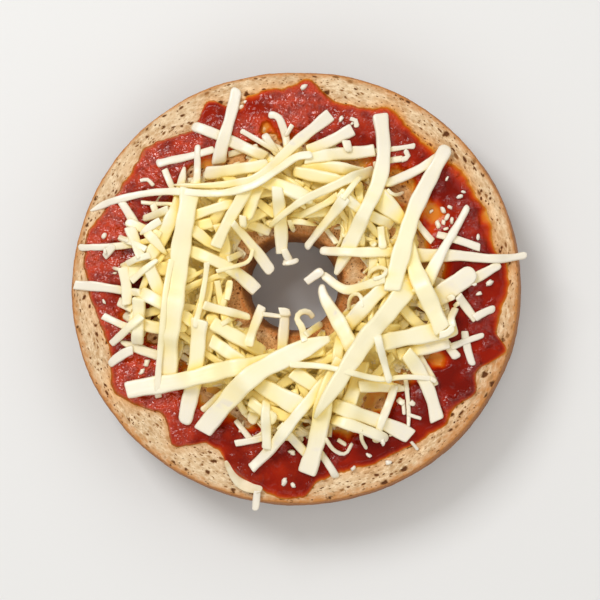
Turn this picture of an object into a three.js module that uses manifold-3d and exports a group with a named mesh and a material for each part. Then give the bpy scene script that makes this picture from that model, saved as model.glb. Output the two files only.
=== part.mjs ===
// Pizza bagel: the cut half of a wholemeal bagel, spread with tomato sauce and heaped with shredded cheese.
// Millimetres, +Z up, with the origin in the middle of the flat underside.
import * as THREE from 'three';
import { mergeVertices } from 'three/addons/utils/BufferGeometryUtils.js';
import Module from 'manifold-3d';

const wasm = await Module();
wasm.setup();

// Bread: a rolled ring, a little longer along X than along Y, widest at its girth and cut level above it.
const BREAD_LENGTH = 115;
const BREAD_WIDTH = 111;
const CUT_HEIGHT = 19;
const GIRTH_HEIGHT = 10.5;
const CUT_EDGE_INSET = 2;
const BASE_EDGE_INSET = 8;
const HOLE_RADIUS = 11.2;
const HOLE_CUT_FLARE = 1.6;
const HOLE_BASE_FLARE = 5.5;
const HOLE_CENTRE = new THREE.Vector2(-0.4, 0.4);
const ARC_STEPS = 4;
const BREAD_SIDES = 64;
const ROLLED_UNEVENNESS = 0.35;

// Sauce: a spread layer with lobes; each pair is the bearing in degrees and the reach of a lobe or a dip.
const GAP = 0.3;
const SAUCE_THICKNESS = 1.4;
const SAUCE_ROUNDING = 0.5;
const SAUCE_INNER_RADIUS = 19;
const SAUCE_INNER_WAVE = 1.1;
const SAUCE_INNER_LOBES = 5;
const SAUCE_INNER_STEPS = 36;
const SAUCE_STEPS_PER_LOBE = 3;
const SAUCE_LOBES = [
  [0, 53.8], [5, 53.7], [10, 51.6], [21, 51.9], [28, 50.9], [33, 51.2], [41, 49.5], [50, 48.5],
  [57, 50], [62, 51], [67, 48.6], [78, 48], [86, 52.2], [91, 50.5], [103, 49.8], [107, 46.8],
  [115, 51.6], [123, 47.4], [137, 51.4], [147, 50.5], [156, 51.5], [165, 53.8], [173, 53.7], [185, 51.4],
  [197, 49.2], [209, 52.2], [217, 49.9], [226, 46.6], [233, 50.6], [242, 45.3], [253, 49.4], [265, 53.2],
  [273, 53], [279, 49], [296, 49.2], [316, 51.8], [328, 53], [336, 52.2], [343, 54.2], [351, 51.8],
];

// Cheese crumbs stuck in the sauce: the places of the larger ones, and their size along, across and up.
const CRUMB_SIZE = new THREE.Vector3(2.2, 1.5, 1.3);
const CRUMB_TURN = 2.4;
const CRUMB_PLACES = [
  [2.6, 50], [-13.3, 45.3], [12, 41.8], [41.7, 22], [37.5, 18.7], [39.5, 16], [36.2, 15], [46.2, 12],
  [-47.9, 13.5], [47, -2.6], [49.2, 0.3], [-36.9, -19.8], [-0.4, -41.8], [-2.5, -49], [0.2, -50.2],
  [14.9, -45.6], [18.9, -42.8], [38.5, 26.5], [-47.8, -3.8], [25, -41.5],
];

// Shreds: cut strips, each given by its two ends, its width and its sideways bow, then the share of the width
// that is left at its tip and the swing of an S-bend, where it has them.
const SHRED_FLATNESS = 0.55;
const SHRED_THINNEST = 1.1;
const SHRED_THICKEST = 2.3;
const SHRED_STEP = 9;
const SHRED_SINK = 0.4;
const SHRED_SAG = 1.2;
const SUPPORT_ACROSS = [-0.4, 0, 0.4];
const HEAP_REACH = 64;
const HEAP_CELL = 0.5;
const CLEARANCE_SPOKES = 12;
const FRINGE_SHREDS = [
  [-54.5, 10, -35, 11.5, 1.8, -1], [-55.5, 0.5, -38, -2, 2.4, 0], [-25.5, 40.5, -7, 31, 3.2, 0],
  [-34.5, 30.5, -20, 34.5, 2.2, 0], [-32.5, 29.5, -29.5, 22.5, 1.6, 0], [-27.5, 30, -28.5, 22.5, 2.2, 0],
  [23, 24.5, 37, 32, 3, 0], [36, 12.5, 47, 9, 2.2, 0], [40, -0.5, 52, 5, 2.7, -0.5],
  [31.5, -2.5, 45, 3, 5, 0],
  [10, -31.5, 29, -38, 3.7, 0.4], [29.5, -15.5, 35, -25.5, 2.7, 0.5], [36, -11, 41, -18.5, 2.2, -0.4],
  [-43.5, -14.5, -31, -18, 3, -0.5], [-48, -7.5, -38, -12, 2, 0], [-3, -35, 3.5, -43, 2.7, 0],
  [-14.5, -31.5, -10, -39, 1.5, 0], [-14, -40.5, -5, -38.5, 2, 0], [38.5, 0.5, 45.5, -9, 2.2, 0],
  [45, -9, 50.5, -6.5, 2, 0.2], [42, -11, 45, -20.5, 2.2, -0.4], [36, -17, 47.5, -13, 1.6, 0.2],
  [4.5, -40, 11, -48, 2.2, 0.4], [25.5, -24, 20, -39.5, 2.4, 0], [28, -22, 28.5, -35.5, 1.2, 0.4],
  [20, 33.5, 30.5, 34.5, 1.4, 0], [20, 30, 29.5, 31.5, 1.8, 0.2], [-13.5, 39, -4, 33, 1.7, 0],
  [-6.5, 43, -1.5, 34, 2, 2], [-43.5, 21.5, -38, 13, 2.7, 0.3], [-42.5, 16, -33, 12, 2.7, 0],
];
const MIDDLE_SHREDS = [
  [-21.5, 6, -27, -35, 4, 1.5], [-9, 27.5, -20, 6.5, 3.5, 0], [-25.5, 8, -9, -1.5, 3.1, 1],
  [-15.5, 15, -5, 3.5, 3.4, 0],
  [-3.5, 24, -2.5, 8, 3.7, 0], [-6, 14.5, 20, 28, 2.7, 0.8, 0.5], [17.5, 23.5, 3.5, 9, 2.8, -0.4, 0.7],
  [9.5, 43, -2.5, 33, 3.5, 0.4], [15, 39, 3.5, 32, 3.5, 0], [3.5, 29.5, 21.5, 34, 3.7, 0],
  [-24, 30, -6, 31.5, 3, -1.2],
  [24, -1, 3.5, 2, 2.7, 0], [14.5, -16.5, 8, -0.5, 3.8, 2, 0.7], [-12, -21, -8.5, -5.5, 2.6, 0],
  [-3.2, -22.5, -2.5, -6, 2.7, 0], [20.5, -15.5, 40.5, -10.5, 4.7, 0], [8.5, -25, -10.5, -46, 3.7, 0.4, 0.7],
  [-38, 6, -39, -14.5, 3.2, 0], [-46, -14.5, -37.5, -7.5, 2.1, 0], [-47, -19.5, -36, -14, 2.5, 0.6],
  [-42.5, 4.5, -42, -6, 2.7, 0.3], [-6.5, -28, -6, -41, 2.5, 0], [22, -13, 24, -25.5, 2.2, -0.3],
  [6.5, -21, 26, -24, 2, 0], [-23.5, 36, -24, 23, 2, 0], [0, 17, 12, 20, 2.2, -1],
];
const TOP_SHREDS = [
  [-25.5, 24.5, -31.5, -22.5, 5, 0], [-42, -26.5, 8, -16, 4.5, -0.4], [-30, 6, -34, -28, 1.6, -0.4],
  [-22, -36.5, 10, -14, 5.2, 4.2], [-20.5, 29, -14.5, 50.5, 3.5, -0.5, 0.8], [25.5, -15.5, 36, -34, 3.7, 0.3],
  [30.5, 2, 12.5, -22.5, 5.5, 0], [14.5, -20.5, 3.5, -47.5, 4.2, -0.6], [6.5, 8.5, 58.5, 7, 2.9, 0.2, 0.65],
  [28, 11.5, 38.5, -14.5, 4, -0.5], [32.5, 1.5, 43.5, 19.5, 3.6, -0.4, 0.55],
  [24.5, -1.5, 39, 34.5, 3.7, 2.7, 0.8],
  [10.5, 2, 22, 43, 4.5, -3.3], [2.5, 33, -51.5, 19, 2.6, 1.8, 0.7, 2.8],
];

// The heap's core: the matted layer of shreds under those that show; smaller shreds lie across it by rule.
const CORE_INNER_RADIUS = 20;
const CORE_OUTER_RADIUS = 39;
const CORE_HEIGHT = 1.5;
const CORE_SHOULDER = 1.5;
const CORE_SIDES = 36;
const MATTED_COUNT = 40;
const MATTED_SEED = 20261;
const MATTED_REACH = [18, 41];
const MATTED_LENGTH = [11, 18];
const MATTED_WIDTH = [1.9, 2.9];

// A lone shred over the rim: a flat piece on the bread beside the sauce, and a peg that sticks out past it.
const FLAT_PIECE = { from: [-15.8, -48.8], to: [-8, -52.6], width: 1.8, thickness: 0.8 };
const RIM_PEG = { from: [-9.2, -51.4], to: [-9.6, -56.4], width: 1.8, thickness: 1.5 };

// Materials
const CRUST = new THREE.MeshStandardMaterial({ color: 0xcfa878, roughness: 0.85, metalness: 0 });
const SAUCE = new THREE.MeshStandardMaterial({ color: 0x8e1a0c, roughness: 0.3, metalness: 0 });
const CHEESE = new THREE.MeshStandardMaterial({ color: 0xf3e6ba, roughness: 0.45, metalness: 0 });

const SAUCE_BOTTOM = CUT_HEIGHT + GAP;
const SAUCE_TOP = SAUCE_BOTTOM + SAUCE_THICKNESS;
const CHEESE_FLOOR = SAUCE_TOP + GAP;
const FULL_TURN = 2 * Math.PI;

// Solids and geometry
const WELD = 1e-4;

function solidOf(geometry) {
  const bare = geometry.clone();
  bare.deleteAttribute('normal');
  bare.deleteAttribute('uv');
  const welded = mergeVertices(bare, WELD);
  return new wasm.Manifold(new wasm.Mesh({
    numProp: 3,
    vertProperties: new Float32Array(welded.attributes.position.array),
    triVerts: new Uint32Array(welded.index.array),
  }));
}

function geometryOf(solid) {
  const mesh = solid.getMesh();
  const geometry = new THREE.BufferGeometry();
  geometry.setAttribute('position', new THREE.BufferAttribute(mesh.vertProperties, 3));
  geometry.setIndex(new THREE.BufferAttribute(mesh.triVerts, 1));
  geometry.computeVertexNormals();
  return geometry;
}

function piece(name, geometry, material) {
  const mesh = new THREE.Mesh(geometry, material);
  mesh.name = name;
  return mesh;
}

// A small generator of even draws from 0 to 1 that gives the same run for the same seed.
function seededDraws(seed) {
  const MODULUS = 2147483647;
  const FACTOR = 16807;
  let state = seed;
  return () => {
    state = (state * FACTOR) % MODULUS;
    return state / MODULUS;
  };
}

function moveVertices(geometry, place) {
  const position = geometry.attributes.position;
  const point = new THREE.Vector3();
  for (let i = 0; i < position.count; i += 1) {
    point.fromBufferAttribute(position, i);
    place(point);
    position.setXYZ(i, point.x, point.y, point.z);
  }
  return geometry;
}

// Bread: quarter arcs join the base, the girth and the cut face, outside and round the hole.
function quarterArc(centreRadius, reach, fromHeight, toHeight, share) {
  const points = [];
  for (let i = 1; i <= ARC_STEPS; i += 1) {
    const angle = (share * i * Math.PI) / 2 / ARC_STEPS;
    const height = fromHeight + ((toHeight - fromHeight) * Math.sin(angle)) / Math.sin((share * Math.PI) / 2);
    points.push(new THREE.Vector2(centreRadius + reach * Math.cos(angle), height));
  }
  return points;
}

function arcShare(reach, inset) {
  return Math.acos(1 - inset / reach) / (Math.PI / 2);
}

function breadProfile() {
  const girth = BREAD_LENGTH / 2;
  const outerCentre = girth - BASE_EDGE_INSET;
  const holeCentre = HOLE_RADIUS + HOLE_BASE_FLARE;
  const outerGirth = new THREE.Vector2(girth, GIRTH_HEIGHT);
  const holeGirth = new THREE.Vector2(HOLE_RADIUS, GIRTH_HEIGHT);
  const outerBase = quarterArc(outerCentre, BASE_EDGE_INSET, GIRTH_HEIGHT, 0, 1);
  const outerCut = quarterArc(
    outerCentre, BASE_EDGE_INSET, GIRTH_HEIGHT, CUT_HEIGHT, arcShare(BASE_EDGE_INSET, CUT_EDGE_INSET));
  const holeCut = quarterArc(
    holeCentre, -HOLE_BASE_FLARE, GIRTH_HEIGHT, CUT_HEIGHT, arcShare(HOLE_BASE_FLARE, HOLE_CUT_FLARE));
  const holeBase = quarterArc(holeCentre, -HOLE_BASE_FLARE, GIRTH_HEIGHT, 0, 1);
  const profile = [
    ...outerBase.reverse(), outerGirth, ...outerCut,
    ...holeCut.reverse(), holeGirth, ...holeBase,
  ];
  return [...profile, profile[0].clone()];
}

function breadGeometry() {
  const geometry = new THREE.LatheGeometry(breadProfile(), BREAD_SIDES);
  geometry.rotateX(Math.PI / 2);
  const middle = (BREAD_LENGTH / 2 + HOLE_RADIUS) / 2;
  return moveVertices(geometry, (point) => {
    const radius = Math.hypot(point.x, point.y);
    const bearing = Math.atan2(point.y, point.x);
    const outward = (radius - HOLE_RADIUS) / (BREAD_LENGTH / 2 - HOLE_RADIUS);
    const unevenness = ROLLED_UNEVENNESS * Math.sin(2 * bearing) * Math.cos(3 * bearing);
    const swell = radius > middle ? 1 + unevenness / radius : 1;
    const narrowing = 1 - (1 - BREAD_WIDTH / BREAD_LENGTH) * outward;
    point.x = point.x * swell + HOLE_CENTRE.x * (1 - outward);
    point.y = point.y * swell * narrowing + HOLE_CENTRE.y * (1 - outward);
  });
}

// Sauce: the lobed outline, less the bare ring round the hole, with a rounded edge and the crumbs in it.
function sauceOutline() {
  const lobes = SAUCE_LOBES.map(([bearing, reach]) => {
    const angle = THREE.MathUtils.degToRad(bearing);
    return new THREE.Vector3(reach * Math.cos(angle), reach * Math.sin(angle), 0);
  });
  const curve = new THREE.CatmullRomCurve3(lobes, true, 'catmullrom', 0.5);
  const points = [];
  for (let i = 0; i < lobes.length * SAUCE_STEPS_PER_LOBE; i += 1) {
    const point = curve.getPoint(i / (lobes.length * SAUCE_STEPS_PER_LOBE));
    points.push(new THREE.Vector2(point.x, point.y));
  }
  return points;
}

function sauceBareRing() {
  const points = [];
  for (let i = 0; i < SAUCE_INNER_STEPS; i += 1) {
    const angle = (i * FULL_TURN) / SAUCE_INNER_STEPS;
    const reach = SAUCE_INNER_RADIUS + SAUCE_INNER_WAVE * Math.sin(SAUCE_INNER_LOBES * angle);
    points.push(new THREE.Vector2(reach * Math.cos(angle), reach * Math.sin(angle)));
  }
  return points;
}

function sauceSolid(crumbPlaces) {
  const outline = new THREE.Shape(sauceOutline());
  outline.holes.push(new THREE.Path(sauceBareRing()));
  const layer = new THREE.ExtrudeGeometry(outline, {
    depth: SAUCE_THICKNESS - 2 * SAUCE_ROUNDING,
    bevelEnabled: true,
    bevelThickness: SAUCE_ROUNDING,
    bevelSize: SAUCE_ROUNDING,
    bevelOffset: -SAUCE_ROUNDING,
    bevelSegments: 1,
    steps: 1,
  });
  layer.translate(0, 0, SAUCE_BOTTOM + SAUCE_ROUNDING);
  let solid = solidOf(layer);
  crumbPlaces.forEach(([x, y], i) => {
    const crumb = new THREE.IcosahedronGeometry(0.5, 0);
    crumb.scale(CRUMB_SIZE.x, CRUMB_SIZE.y, CRUMB_SIZE.z);
    crumb.rotateZ(i * CRUMB_TURN);
    crumb.translate(x, y, SAUCE_TOP);
    solid = solid.add(solidOf(crumb));
  });
  return solid;
}

// A shred's middle line bows or swings sideways between its ends.
class Shred {
  constructor([x0, y0, x1, y1, width, bow = 0, tip = 1, swing = 0]) {
    this.start = new THREE.Vector2(x0, y0);
    this.along = new THREE.Vector2(x1 - x0, y1 - y0);
    this.length = this.along.length();
    this.side = new THREE.Vector2(-this.along.y, this.along.x).divideScalar(this.length);
    this.width = width;
    this.bow = bow;
    this.tip = tip;
    this.swing = swing;
    this.thickness = THREE.MathUtils.clamp(width * SHRED_FLATNESS, SHRED_THINNEST, SHRED_THICKEST);
  }

  // The point at a share of the length, and offset sideways by a share of the width.
  point(share, across) {
    const taper = 1 + (this.tip - 1) * share;
    const bend = 4 * this.bow * share * (1 - share) + this.swing * Math.sin(FULL_TURN * share);
    const offset = bend + across * this.width * taper;
    return this.start.clone().addScaledVector(this.along, share).addScaledVector(this.side, offset);
  }
}

// The heap's height so far on a square grid: every strip that is laid down raises it.
class Heap {
  constructor() {
    this.count = Math.ceil((2 * HEAP_REACH) / HEAP_CELL);
    this.top = new Float32Array(this.count * this.count).fill(CHEESE_FLOOR);
  }

  index(point) {
    const column = Math.floor((point.x + HEAP_REACH) / HEAP_CELL);
    const row = Math.floor((point.y + HEAP_REACH) / HEAP_CELL);
    return row * this.count + column;
  }

  height(point) {
    return this.top[this.index(point)];
  }

  raise(point, height) {
    const index = this.index(point);
    this.top[index] = Math.max(this.top[index], height);
  }

  isClear(x, y, radius) {
    for (let i = 0; i < CLEARANCE_SPOKES; i += 1) {
      const angle = (i * FULL_TURN) / CLEARANCE_SPOKES;
      const point = new THREE.Vector2(x + radius * Math.cos(angle), y + radius * Math.sin(angle));
      if (this.height(point) > CHEESE_FLOOR) return false;
    }
    return this.height(new THREE.Vector2(x, y)) <= CHEESE_FLOOR;
  }

  // A strip rests on what is highest under it and sags a little between, then becomes part of the heap.
  lay(shred) {
    const stations = Math.ceil(shred.length / HEAP_CELL);
    const lanes = Math.ceil(shred.width / HEAP_CELL) + 1;
    const support = [];
    for (let i = 0; i <= stations; i += 1) {
      const heights = SUPPORT_ACROSS.map((across) => this.height(shred.point(i / stations, across)));
      support.push(Math.max(CHEESE_FLOOR, Math.max(...heights) - SHRED_SINK));
    }
    const rest = support.map((height, i) => Math.max(height, tautLine(support, i) - SHRED_SAG));
    for (let i = 0; i <= stations; i += 1) {
      for (let lane = 0; lane <= lanes; lane += 1) {
        this.raise(shred.point(i / stations, lane / lanes - 0.5), rest[i] + shred.thickness);
      }
    }
    return rest;
  }
}

// The height at one station of a line drawn tight over all the supports.
function tautLine(support, station) {
  let highest = support[station];
  for (let a = 0; a < station; a += 1) {
    for (let b = station + 1; b < support.length; b += 1) {
      const share = (station - a) / (b - a);
      highest = Math.max(highest, support[a] + (support[b] - support[a]) * share);
    }
  }
  return highest;
}

function shredGeometry(shred, rest) {
  const steps = Math.max(2, Math.round(shred.length / SHRED_STEP));
  const strip = new THREE.BoxGeometry(1, 1, 1, steps, 1, 1);
  return moveVertices(strip, (point) => {
    const share = point.x + 0.5;
    const place = shred.point(share, point.y);
    const station = Math.round(share * (rest.length - 1));
    point.set(place.x, place.y, rest[station] + (point.z + 0.5) * shred.thickness);
  });
}

function coreGeometry() {
  const top = CHEESE_FLOOR + CORE_HEIGHT;
  const profile = [
    new THREE.Vector2(CORE_INNER_RADIUS, CHEESE_FLOOR),
    new THREE.Vector2(CORE_OUTER_RADIUS, CHEESE_FLOOR),
    new THREE.Vector2(CORE_OUTER_RADIUS - CORE_SHOULDER, top),
    new THREE.Vector2(CORE_INNER_RADIUS + CORE_SHOULDER, top),
    new THREE.Vector2(CORE_INNER_RADIUS, CHEESE_FLOOR),
  ];
  return new THREE.LatheGeometry(profile, CORE_SIDES).rotateX(Math.PI / 2);
}

// Matted shreds are spread round the ring at the golden angle, each turned and sized by a seeded draw.
function mattedShreds() {
  const draw = seededDraws(MATTED_SEED);
  const between = ([low, high]) => low + (high - low) * draw();
  const goldenAngle = Math.PI * (3 - Math.sqrt(5));
  const rows = [];
  for (let i = 0; i < MATTED_COUNT; i += 1) {
    const bearing = i * goldenAngle;
    const reach = between(MATTED_REACH);
    const heading = draw() * Math.PI;
    const half = between(MATTED_LENGTH) / 2;
    const x = reach * Math.cos(bearing);
    const y = reach * Math.sin(bearing);
    const dx = half * Math.cos(heading);
    const dy = half * Math.sin(heading);
    rows.push([x - dx, y - dy, x + dx, y + dy, between(MATTED_WIDTH), 0]);
  }
  return rows;
}

function cheeseSolid(heap) {
  let solid = solidOf(coreGeometry());
  for (let bearing = 0; bearing < FULL_TURN; bearing += HEAP_CELL / CORE_OUTER_RADIUS) {
    for (let radius = CORE_INNER_RADIUS; radius < CORE_OUTER_RADIUS; radius += HEAP_CELL) {
      const point = new THREE.Vector2(radius * Math.cos(bearing), radius * Math.sin(bearing));
      heap.raise(point, CHEESE_FLOOR + CORE_HEIGHT);
    }
  }
  const rows = [...mattedShreds(), ...FRINGE_SHREDS, ...MIDDLE_SHREDS, ...TOP_SHREDS];
  rows.forEach((row) => {
    const shred = new Shred(row);
    solid = solid.add(solidOf(shredGeometry(shred, heap.lay(shred))));
  });
  const bodies = solid.decompose();
  bodies.sort((a, b) => b.volume() - a.volume());
  return bodies[0];
}

// The lone shred on the rim: two strips lying on the cut face, joined end to side.
function flatStrip({ from, to, width, thickness }) {
  const shred = new Shred([...from, ...to, width]);
  shred.thickness = thickness;
  return solidOf(shredGeometry(shred, [CUT_HEIGHT + GAP, CUT_HEIGHT + GAP]));
}

const heap = new Heap();
const cheese = cheeseSolid(heap);
const freeCrumbs = CRUMB_PLACES.filter(([x, y]) => heap.isClear(x, y, CRUMB_SIZE.x));

const pizzaBagel = new THREE.Group();
pizzaBagel.name = 'pizza_bagel';
pizzaBagel.add(piece('bagel_half', breadGeometry(), CRUST));
pizzaBagel.add(piece('tomato_sauce', geometryOf(sauceSolid(freeCrumbs)), SAUCE));
pizzaBagel.add(piece('shredded_cheese', geometryOf(cheese), CHEESE));
pizzaBagel.add(piece('rim_shred', geometryOf(flatStrip(FLAT_PIECE).add(flatStrip(RIM_PEG))), CHEESE));

export default pizzaBagel;
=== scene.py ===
import math

import bpy
import numpy as np
from mathutils import Matrix, Vector
from mathutils.bvhtree import BVHTree


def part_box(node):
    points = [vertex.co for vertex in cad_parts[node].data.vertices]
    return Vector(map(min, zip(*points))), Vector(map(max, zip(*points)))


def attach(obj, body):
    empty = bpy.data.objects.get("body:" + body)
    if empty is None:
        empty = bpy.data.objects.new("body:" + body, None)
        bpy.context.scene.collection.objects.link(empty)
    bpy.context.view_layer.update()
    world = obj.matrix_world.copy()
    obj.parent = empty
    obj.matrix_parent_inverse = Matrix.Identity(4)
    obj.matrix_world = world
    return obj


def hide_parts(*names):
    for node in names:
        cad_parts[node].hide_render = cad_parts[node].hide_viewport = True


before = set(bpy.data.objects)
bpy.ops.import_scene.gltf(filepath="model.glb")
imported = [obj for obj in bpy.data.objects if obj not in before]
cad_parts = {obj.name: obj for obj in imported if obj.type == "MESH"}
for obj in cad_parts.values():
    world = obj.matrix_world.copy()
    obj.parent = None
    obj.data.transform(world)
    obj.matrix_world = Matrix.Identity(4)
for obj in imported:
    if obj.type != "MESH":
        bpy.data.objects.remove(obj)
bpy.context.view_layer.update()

# Bread: half of a wholemeal bagel. The dough is rolled into a ring, baked and sliced level.
# The cut face is open crumb with pores drawn out along the roll.
# The crust round it is baked brown, and the cut edge is toasted.
MM = 0.001
FULL_TURN = 2 * math.pi
bread_low, bread_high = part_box("bagel_half")
BREAD_REACH = (bread_high.x - bread_low.x) / 2
BREAD_NARROWING = 1 - (bread_high.y - bread_low.y) / (bread_high.x - bread_low.x)
CUT_HEIGHT = bread_high.z
GIRTH_HEIGHT = 10.5 * MM
CUT_EDGE_INSET = 0.8 * MM
BASE_EDGE_INSET = 8 * MM
HOLE_RADIUS = 11.2 * MM
HOLE_CUT_FLARE = 1.6 * MM
HOLE_BASE_FLARE = 5.5 * MM
HOLE_CENTRE = (-0.4 * MM, 0.4 * MM)
ROLLED_UNEVENNESS = 0.2 * MM
# Flatter sides of the rim: the bearing and spread in degrees, and the depth.
RIM_FLATS = ((92, 17, 0.8 * MM), (165, 22, 0.6 * MM), (235, 22, 0.4 * MM), (8, 14, 0.3 * MM))
RIM_SHRINKAGE = 0.2 * MM
BREAD_UNEVENNESS = ((9 * MM, 0.5 * MM), (1.6 * MM, 0.22 * MM))
BREAD_SIDES = 620
OUTER_BASE_STEPS = 15
OUTER_CUT_STEPS = 14
HOLE_STEPS = 12
EDGE_SOFTENING_PASSES = 3
BARE_RIM = 44 * MM
BARE_RING = 21 * MM
FINE_STEP = 0.3 * MM
RING_STEP = 0.4 * MM
COVERED_STEP = 0.9 * MM
BASE_STEP = 3 * MM
FACE_MARGIN = 0.15 * MM
WELD = 0.01 * MM
BREAD_SEED = 71
PORE_COUNT = 330
PORE_LENGTH = (0.9 * MM, 2.0 * MM)
PORE_LENGTH_SPREAD = 0.35
PORE_FLATNESS = (0.35, 0.75)
PORE_DEPTH = 0.7
PORE_SLANT = 0.35
PORE_RAGGEDNESS = 0.3
PORE_LOBES = 3
PORE_MARGIN = 1.3
# Pores too fine to model, painted as dark shade in the crumb:
# how many lie along a millimetre, and the largest as a share of their spacing.
FINE_PORES = ((0.6, 0.3), (1.2, 0.36), (2.3, 0.4))
ROLL_SCALE = 24.0
TOAST_REACH = 0.9
# Sides toasted further in: the bearing and spread in degrees, and how many millimetres further.
# On the lower right, at -30 and -82 degrees, the extra reach is partly real toast and partly painted shade.
TOASTED_AND_SHADED_SIDES = ((62, 40, 0.9), (-30, 25, 3.4), (-82, 14, 2), (228, 35, 1.3), (180, 25, 0.6))


def quarter_arc(centre, reach, height, inset, steps):
    """Points from the girth up or down an arc that draws in by the inset."""
    sweep = math.acos(1 - inset / abs(reach))
    turns = sweep * np.arange(1, steps + 1) / steps
    rise = (height - GIRTH_HEIGHT) / math.sin(sweep)
    return np.column_stack([centre + reach * np.cos(turns), GIRTH_HEIGHT + rise * np.sin(turns)])


def level_run(first, last, step, height):
    """Points along a level stretch of the profile, without its far end."""
    count = max(2, round(abs(last - first) / step))
    radii = np.linspace(first, last, count, endpoint=False)
    return np.column_stack([radii, np.full(count, height)])


def spin_ring(name, profile, sides):
    """A ring: a circle laid on the profile, turned once round the upright axis."""
    bpy.ops.object.select_all(action="DESELECT")
    bpy.ops.mesh.primitive_circle_add(vertices=len(profile), radius=BREAD_REACH)
    ring = bpy.context.object
    ring.name = name
    for vertex, (radius, height) in zip(ring.data.vertices, profile):
        vertex.co = (radius, 0, height)
    bpy.ops.object.modifier_add(type="SCREW")
    turning = ring.modifiers[-1]
    turning.steps = turning.render_steps = sides
    turning.use_merge_vertices = True
    turning.merge_threshold = WELD
    bpy.ops.object.modifier_apply(modifier=turning.name)
    bpy.ops.object.mode_set(mode="EDIT")
    bpy.ops.mesh.select_all(action="SELECT")
    bpy.ops.mesh.normals_make_consistent(inside=False)
    bpy.ops.object.mode_set(mode="OBJECT")
    bpy.ops.object.shade_smooth()
    return ring


def read_points(piece):
    """The places of a piece's vertices, one row each."""
    points = np.empty(len(piece.data.vertices) * 3)
    piece.data.vertices.foreach_get("co", points)
    return points.reshape(-1, 3)


def write_points(piece, points):
    """Moves a piece's vertices to those places."""
    piece.data.vertices.foreach_set("co", points.ravel())
    piece.data.update()


def write_values(piece, name, values):
    """Stores a number or a vector for each vertex, for the piece's material to read."""
    kind, field = ("FLOAT", "value") if values.ndim == 1 else ("FLOAT_VECTOR", "vector")
    attribute = piece.data.attributes.new(name, kind, "POINT")
    attribute.data.foreach_set(field, values.astype(np.float32).ravel())


def roughen(piece, grain, depth):
    """Raises and lowers the surface by a clouded pattern of that grain and depth."""
    texture = bpy.data.textures.new(f"{piece.name}_clouds", "CLOUDS")
    texture.noise_scale = grain
    bpy.context.view_layer.objects.active = piece
    bpy.ops.object.modifier_add(type="DISPLACE")
    modifier = piece.modifiers[-1]
    modifier.texture = texture
    modifier.texture_coords = "LOCAL"
    modifier.strength = depth
    bpy.ops.object.modifier_apply(modifier=modifier.name)


def set_inputs(tree, node, inputs):
    """Sets a node's inputs, each to a value or linked from another node's output."""
    for socket, value in dict(inputs).items():
        if isinstance(value, bpy.types.NodeSocket):
            tree.links.new(value, node.inputs[socket])
        else:
            node.inputs[socket].default_value = value


def add_node(tree, kind, inputs=(), **settings):
    """Adds a shader node with its settings and inputs."""
    node = tree.nodes.new(kind)
    for name, setting in settings.items():
        setattr(node, name, setting)
    set_inputs(tree, node, inputs)
    return node


def calculate(tree, operation, *values):
    """A number worked out from others."""
    return add_node(tree, "ShaderNodeMath", enumerate(values), operation=operation).outputs[0]


def calculate_vector(tree, operation, *values):
    """A vector worked out from others."""
    return add_node(tree, "ShaderNodeVectorMath", enumerate(values), operation=operation).outputs[0]


def stretch(tree, value, from_low, from_high, to_low=0.0, to_high=1.0):
    """Maps a value from one range to another and holds it there."""
    inputs = {0: value, 1: from_low, 2: from_high, 3: to_low, 4: to_high}
    return add_node(tree, "ShaderNodeMapRange", inputs).outputs[0]


def make_mottling():
    """A node group of clouded patches: noise at a place, stretched between two of its levels to 0 and 1."""
    group = bpy.data.node_groups.new("mottling", "ShaderNodeTree")
    group.interface.new_socket("Place", in_out="INPUT", socket_type="NodeSocketVector")
    for name in ("Scale", "Detail", "Roughness", "Low", "High"):
        group.interface.new_socket(name, in_out="INPUT", socket_type="NodeSocketFloat")
    group.interface.new_socket("Share", in_out="OUTPUT", socket_type="NodeSocketFloat")
    given = group.nodes.new("NodeGroupInput").outputs
    noise = add_node(group, "ShaderNodeTexNoise", {"Vector": given["Place"]})
    set_inputs(group, noise, {name: given[name] for name in ("Scale", "Detail", "Roughness")})
    share = stretch(group, noise.outputs[0], given["Low"], given["High"])
    set_inputs(group, group.nodes.new("NodeGroupOutput"), {"Share": share})
    return group


mottling = make_mottling()


def mottle(tree, place, scale, detail, low=0.0, high=1.0, roughness=0.5):
    """A share of clouded patches over the surface."""
    inputs = {
        "Place": place, "Scale": scale, "Detail": detail,
        "Roughness": roughness, "Low": low, "High": high,
    }
    return add_node(tree, "ShaderNodeGroup", inputs, node_tree=mottling).outputs["Share"]


def blend_colours(tree, share, first, second, blend_type="MIX"):
    """The first colour with a share of the second laid over it."""
    inputs = {0: share, 6: first, 7: second}
    node = add_node(tree, "ShaderNodeMix", inputs, data_type="RGBA", blend_type=blend_type)
    return node.outputs[2]


def colour_ramp(tree, value, *stops):
    """Colours along a value from 0 to 1, each stop a place and a colour."""
    ramp = add_node(tree, "ShaderNodeValToRGB", {0: value})
    for _ in stops[2:]:
        ramp.color_ramp.elements.new(0.5)
    for element, (place, colour) in zip(ramp.color_ramp.elements, stops):
        element.position = place
        element.color = colour
    return ramp.outputs[0]


def read_value(tree, name, output="Fac"):
    """A value stored on the piece's vertices."""
    return add_node(tree, "ShaderNodeAttribute", attribute_name=name).outputs[output]


def srgb(red, green, blue):
    """A colour given as it looks on a screen, from 0 to 255, turned into light."""
    channels = [((channel / 255 + 0.055) / 1.055) ** 2.4 for channel in (red, green, blue)]
    return (*channels, 1.0)


def new_material(name):
    """A new material, with its nodes and its shader."""
    material = bpy.data.materials.new(name)
    material.use_nodes = True
    tree = material.node_tree
    return material, tree, tree.nodes["Principled BSDF"]


def near_bearing(bearing, middle, spread):
    """A share that is 1 at the middle bearing, in degrees, and fades out over the spread."""
    off = np.angle(np.exp(1j * (bearing - math.radians(middle))))
    return np.exp(-(off / math.radians(spread)) ** 2)


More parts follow.
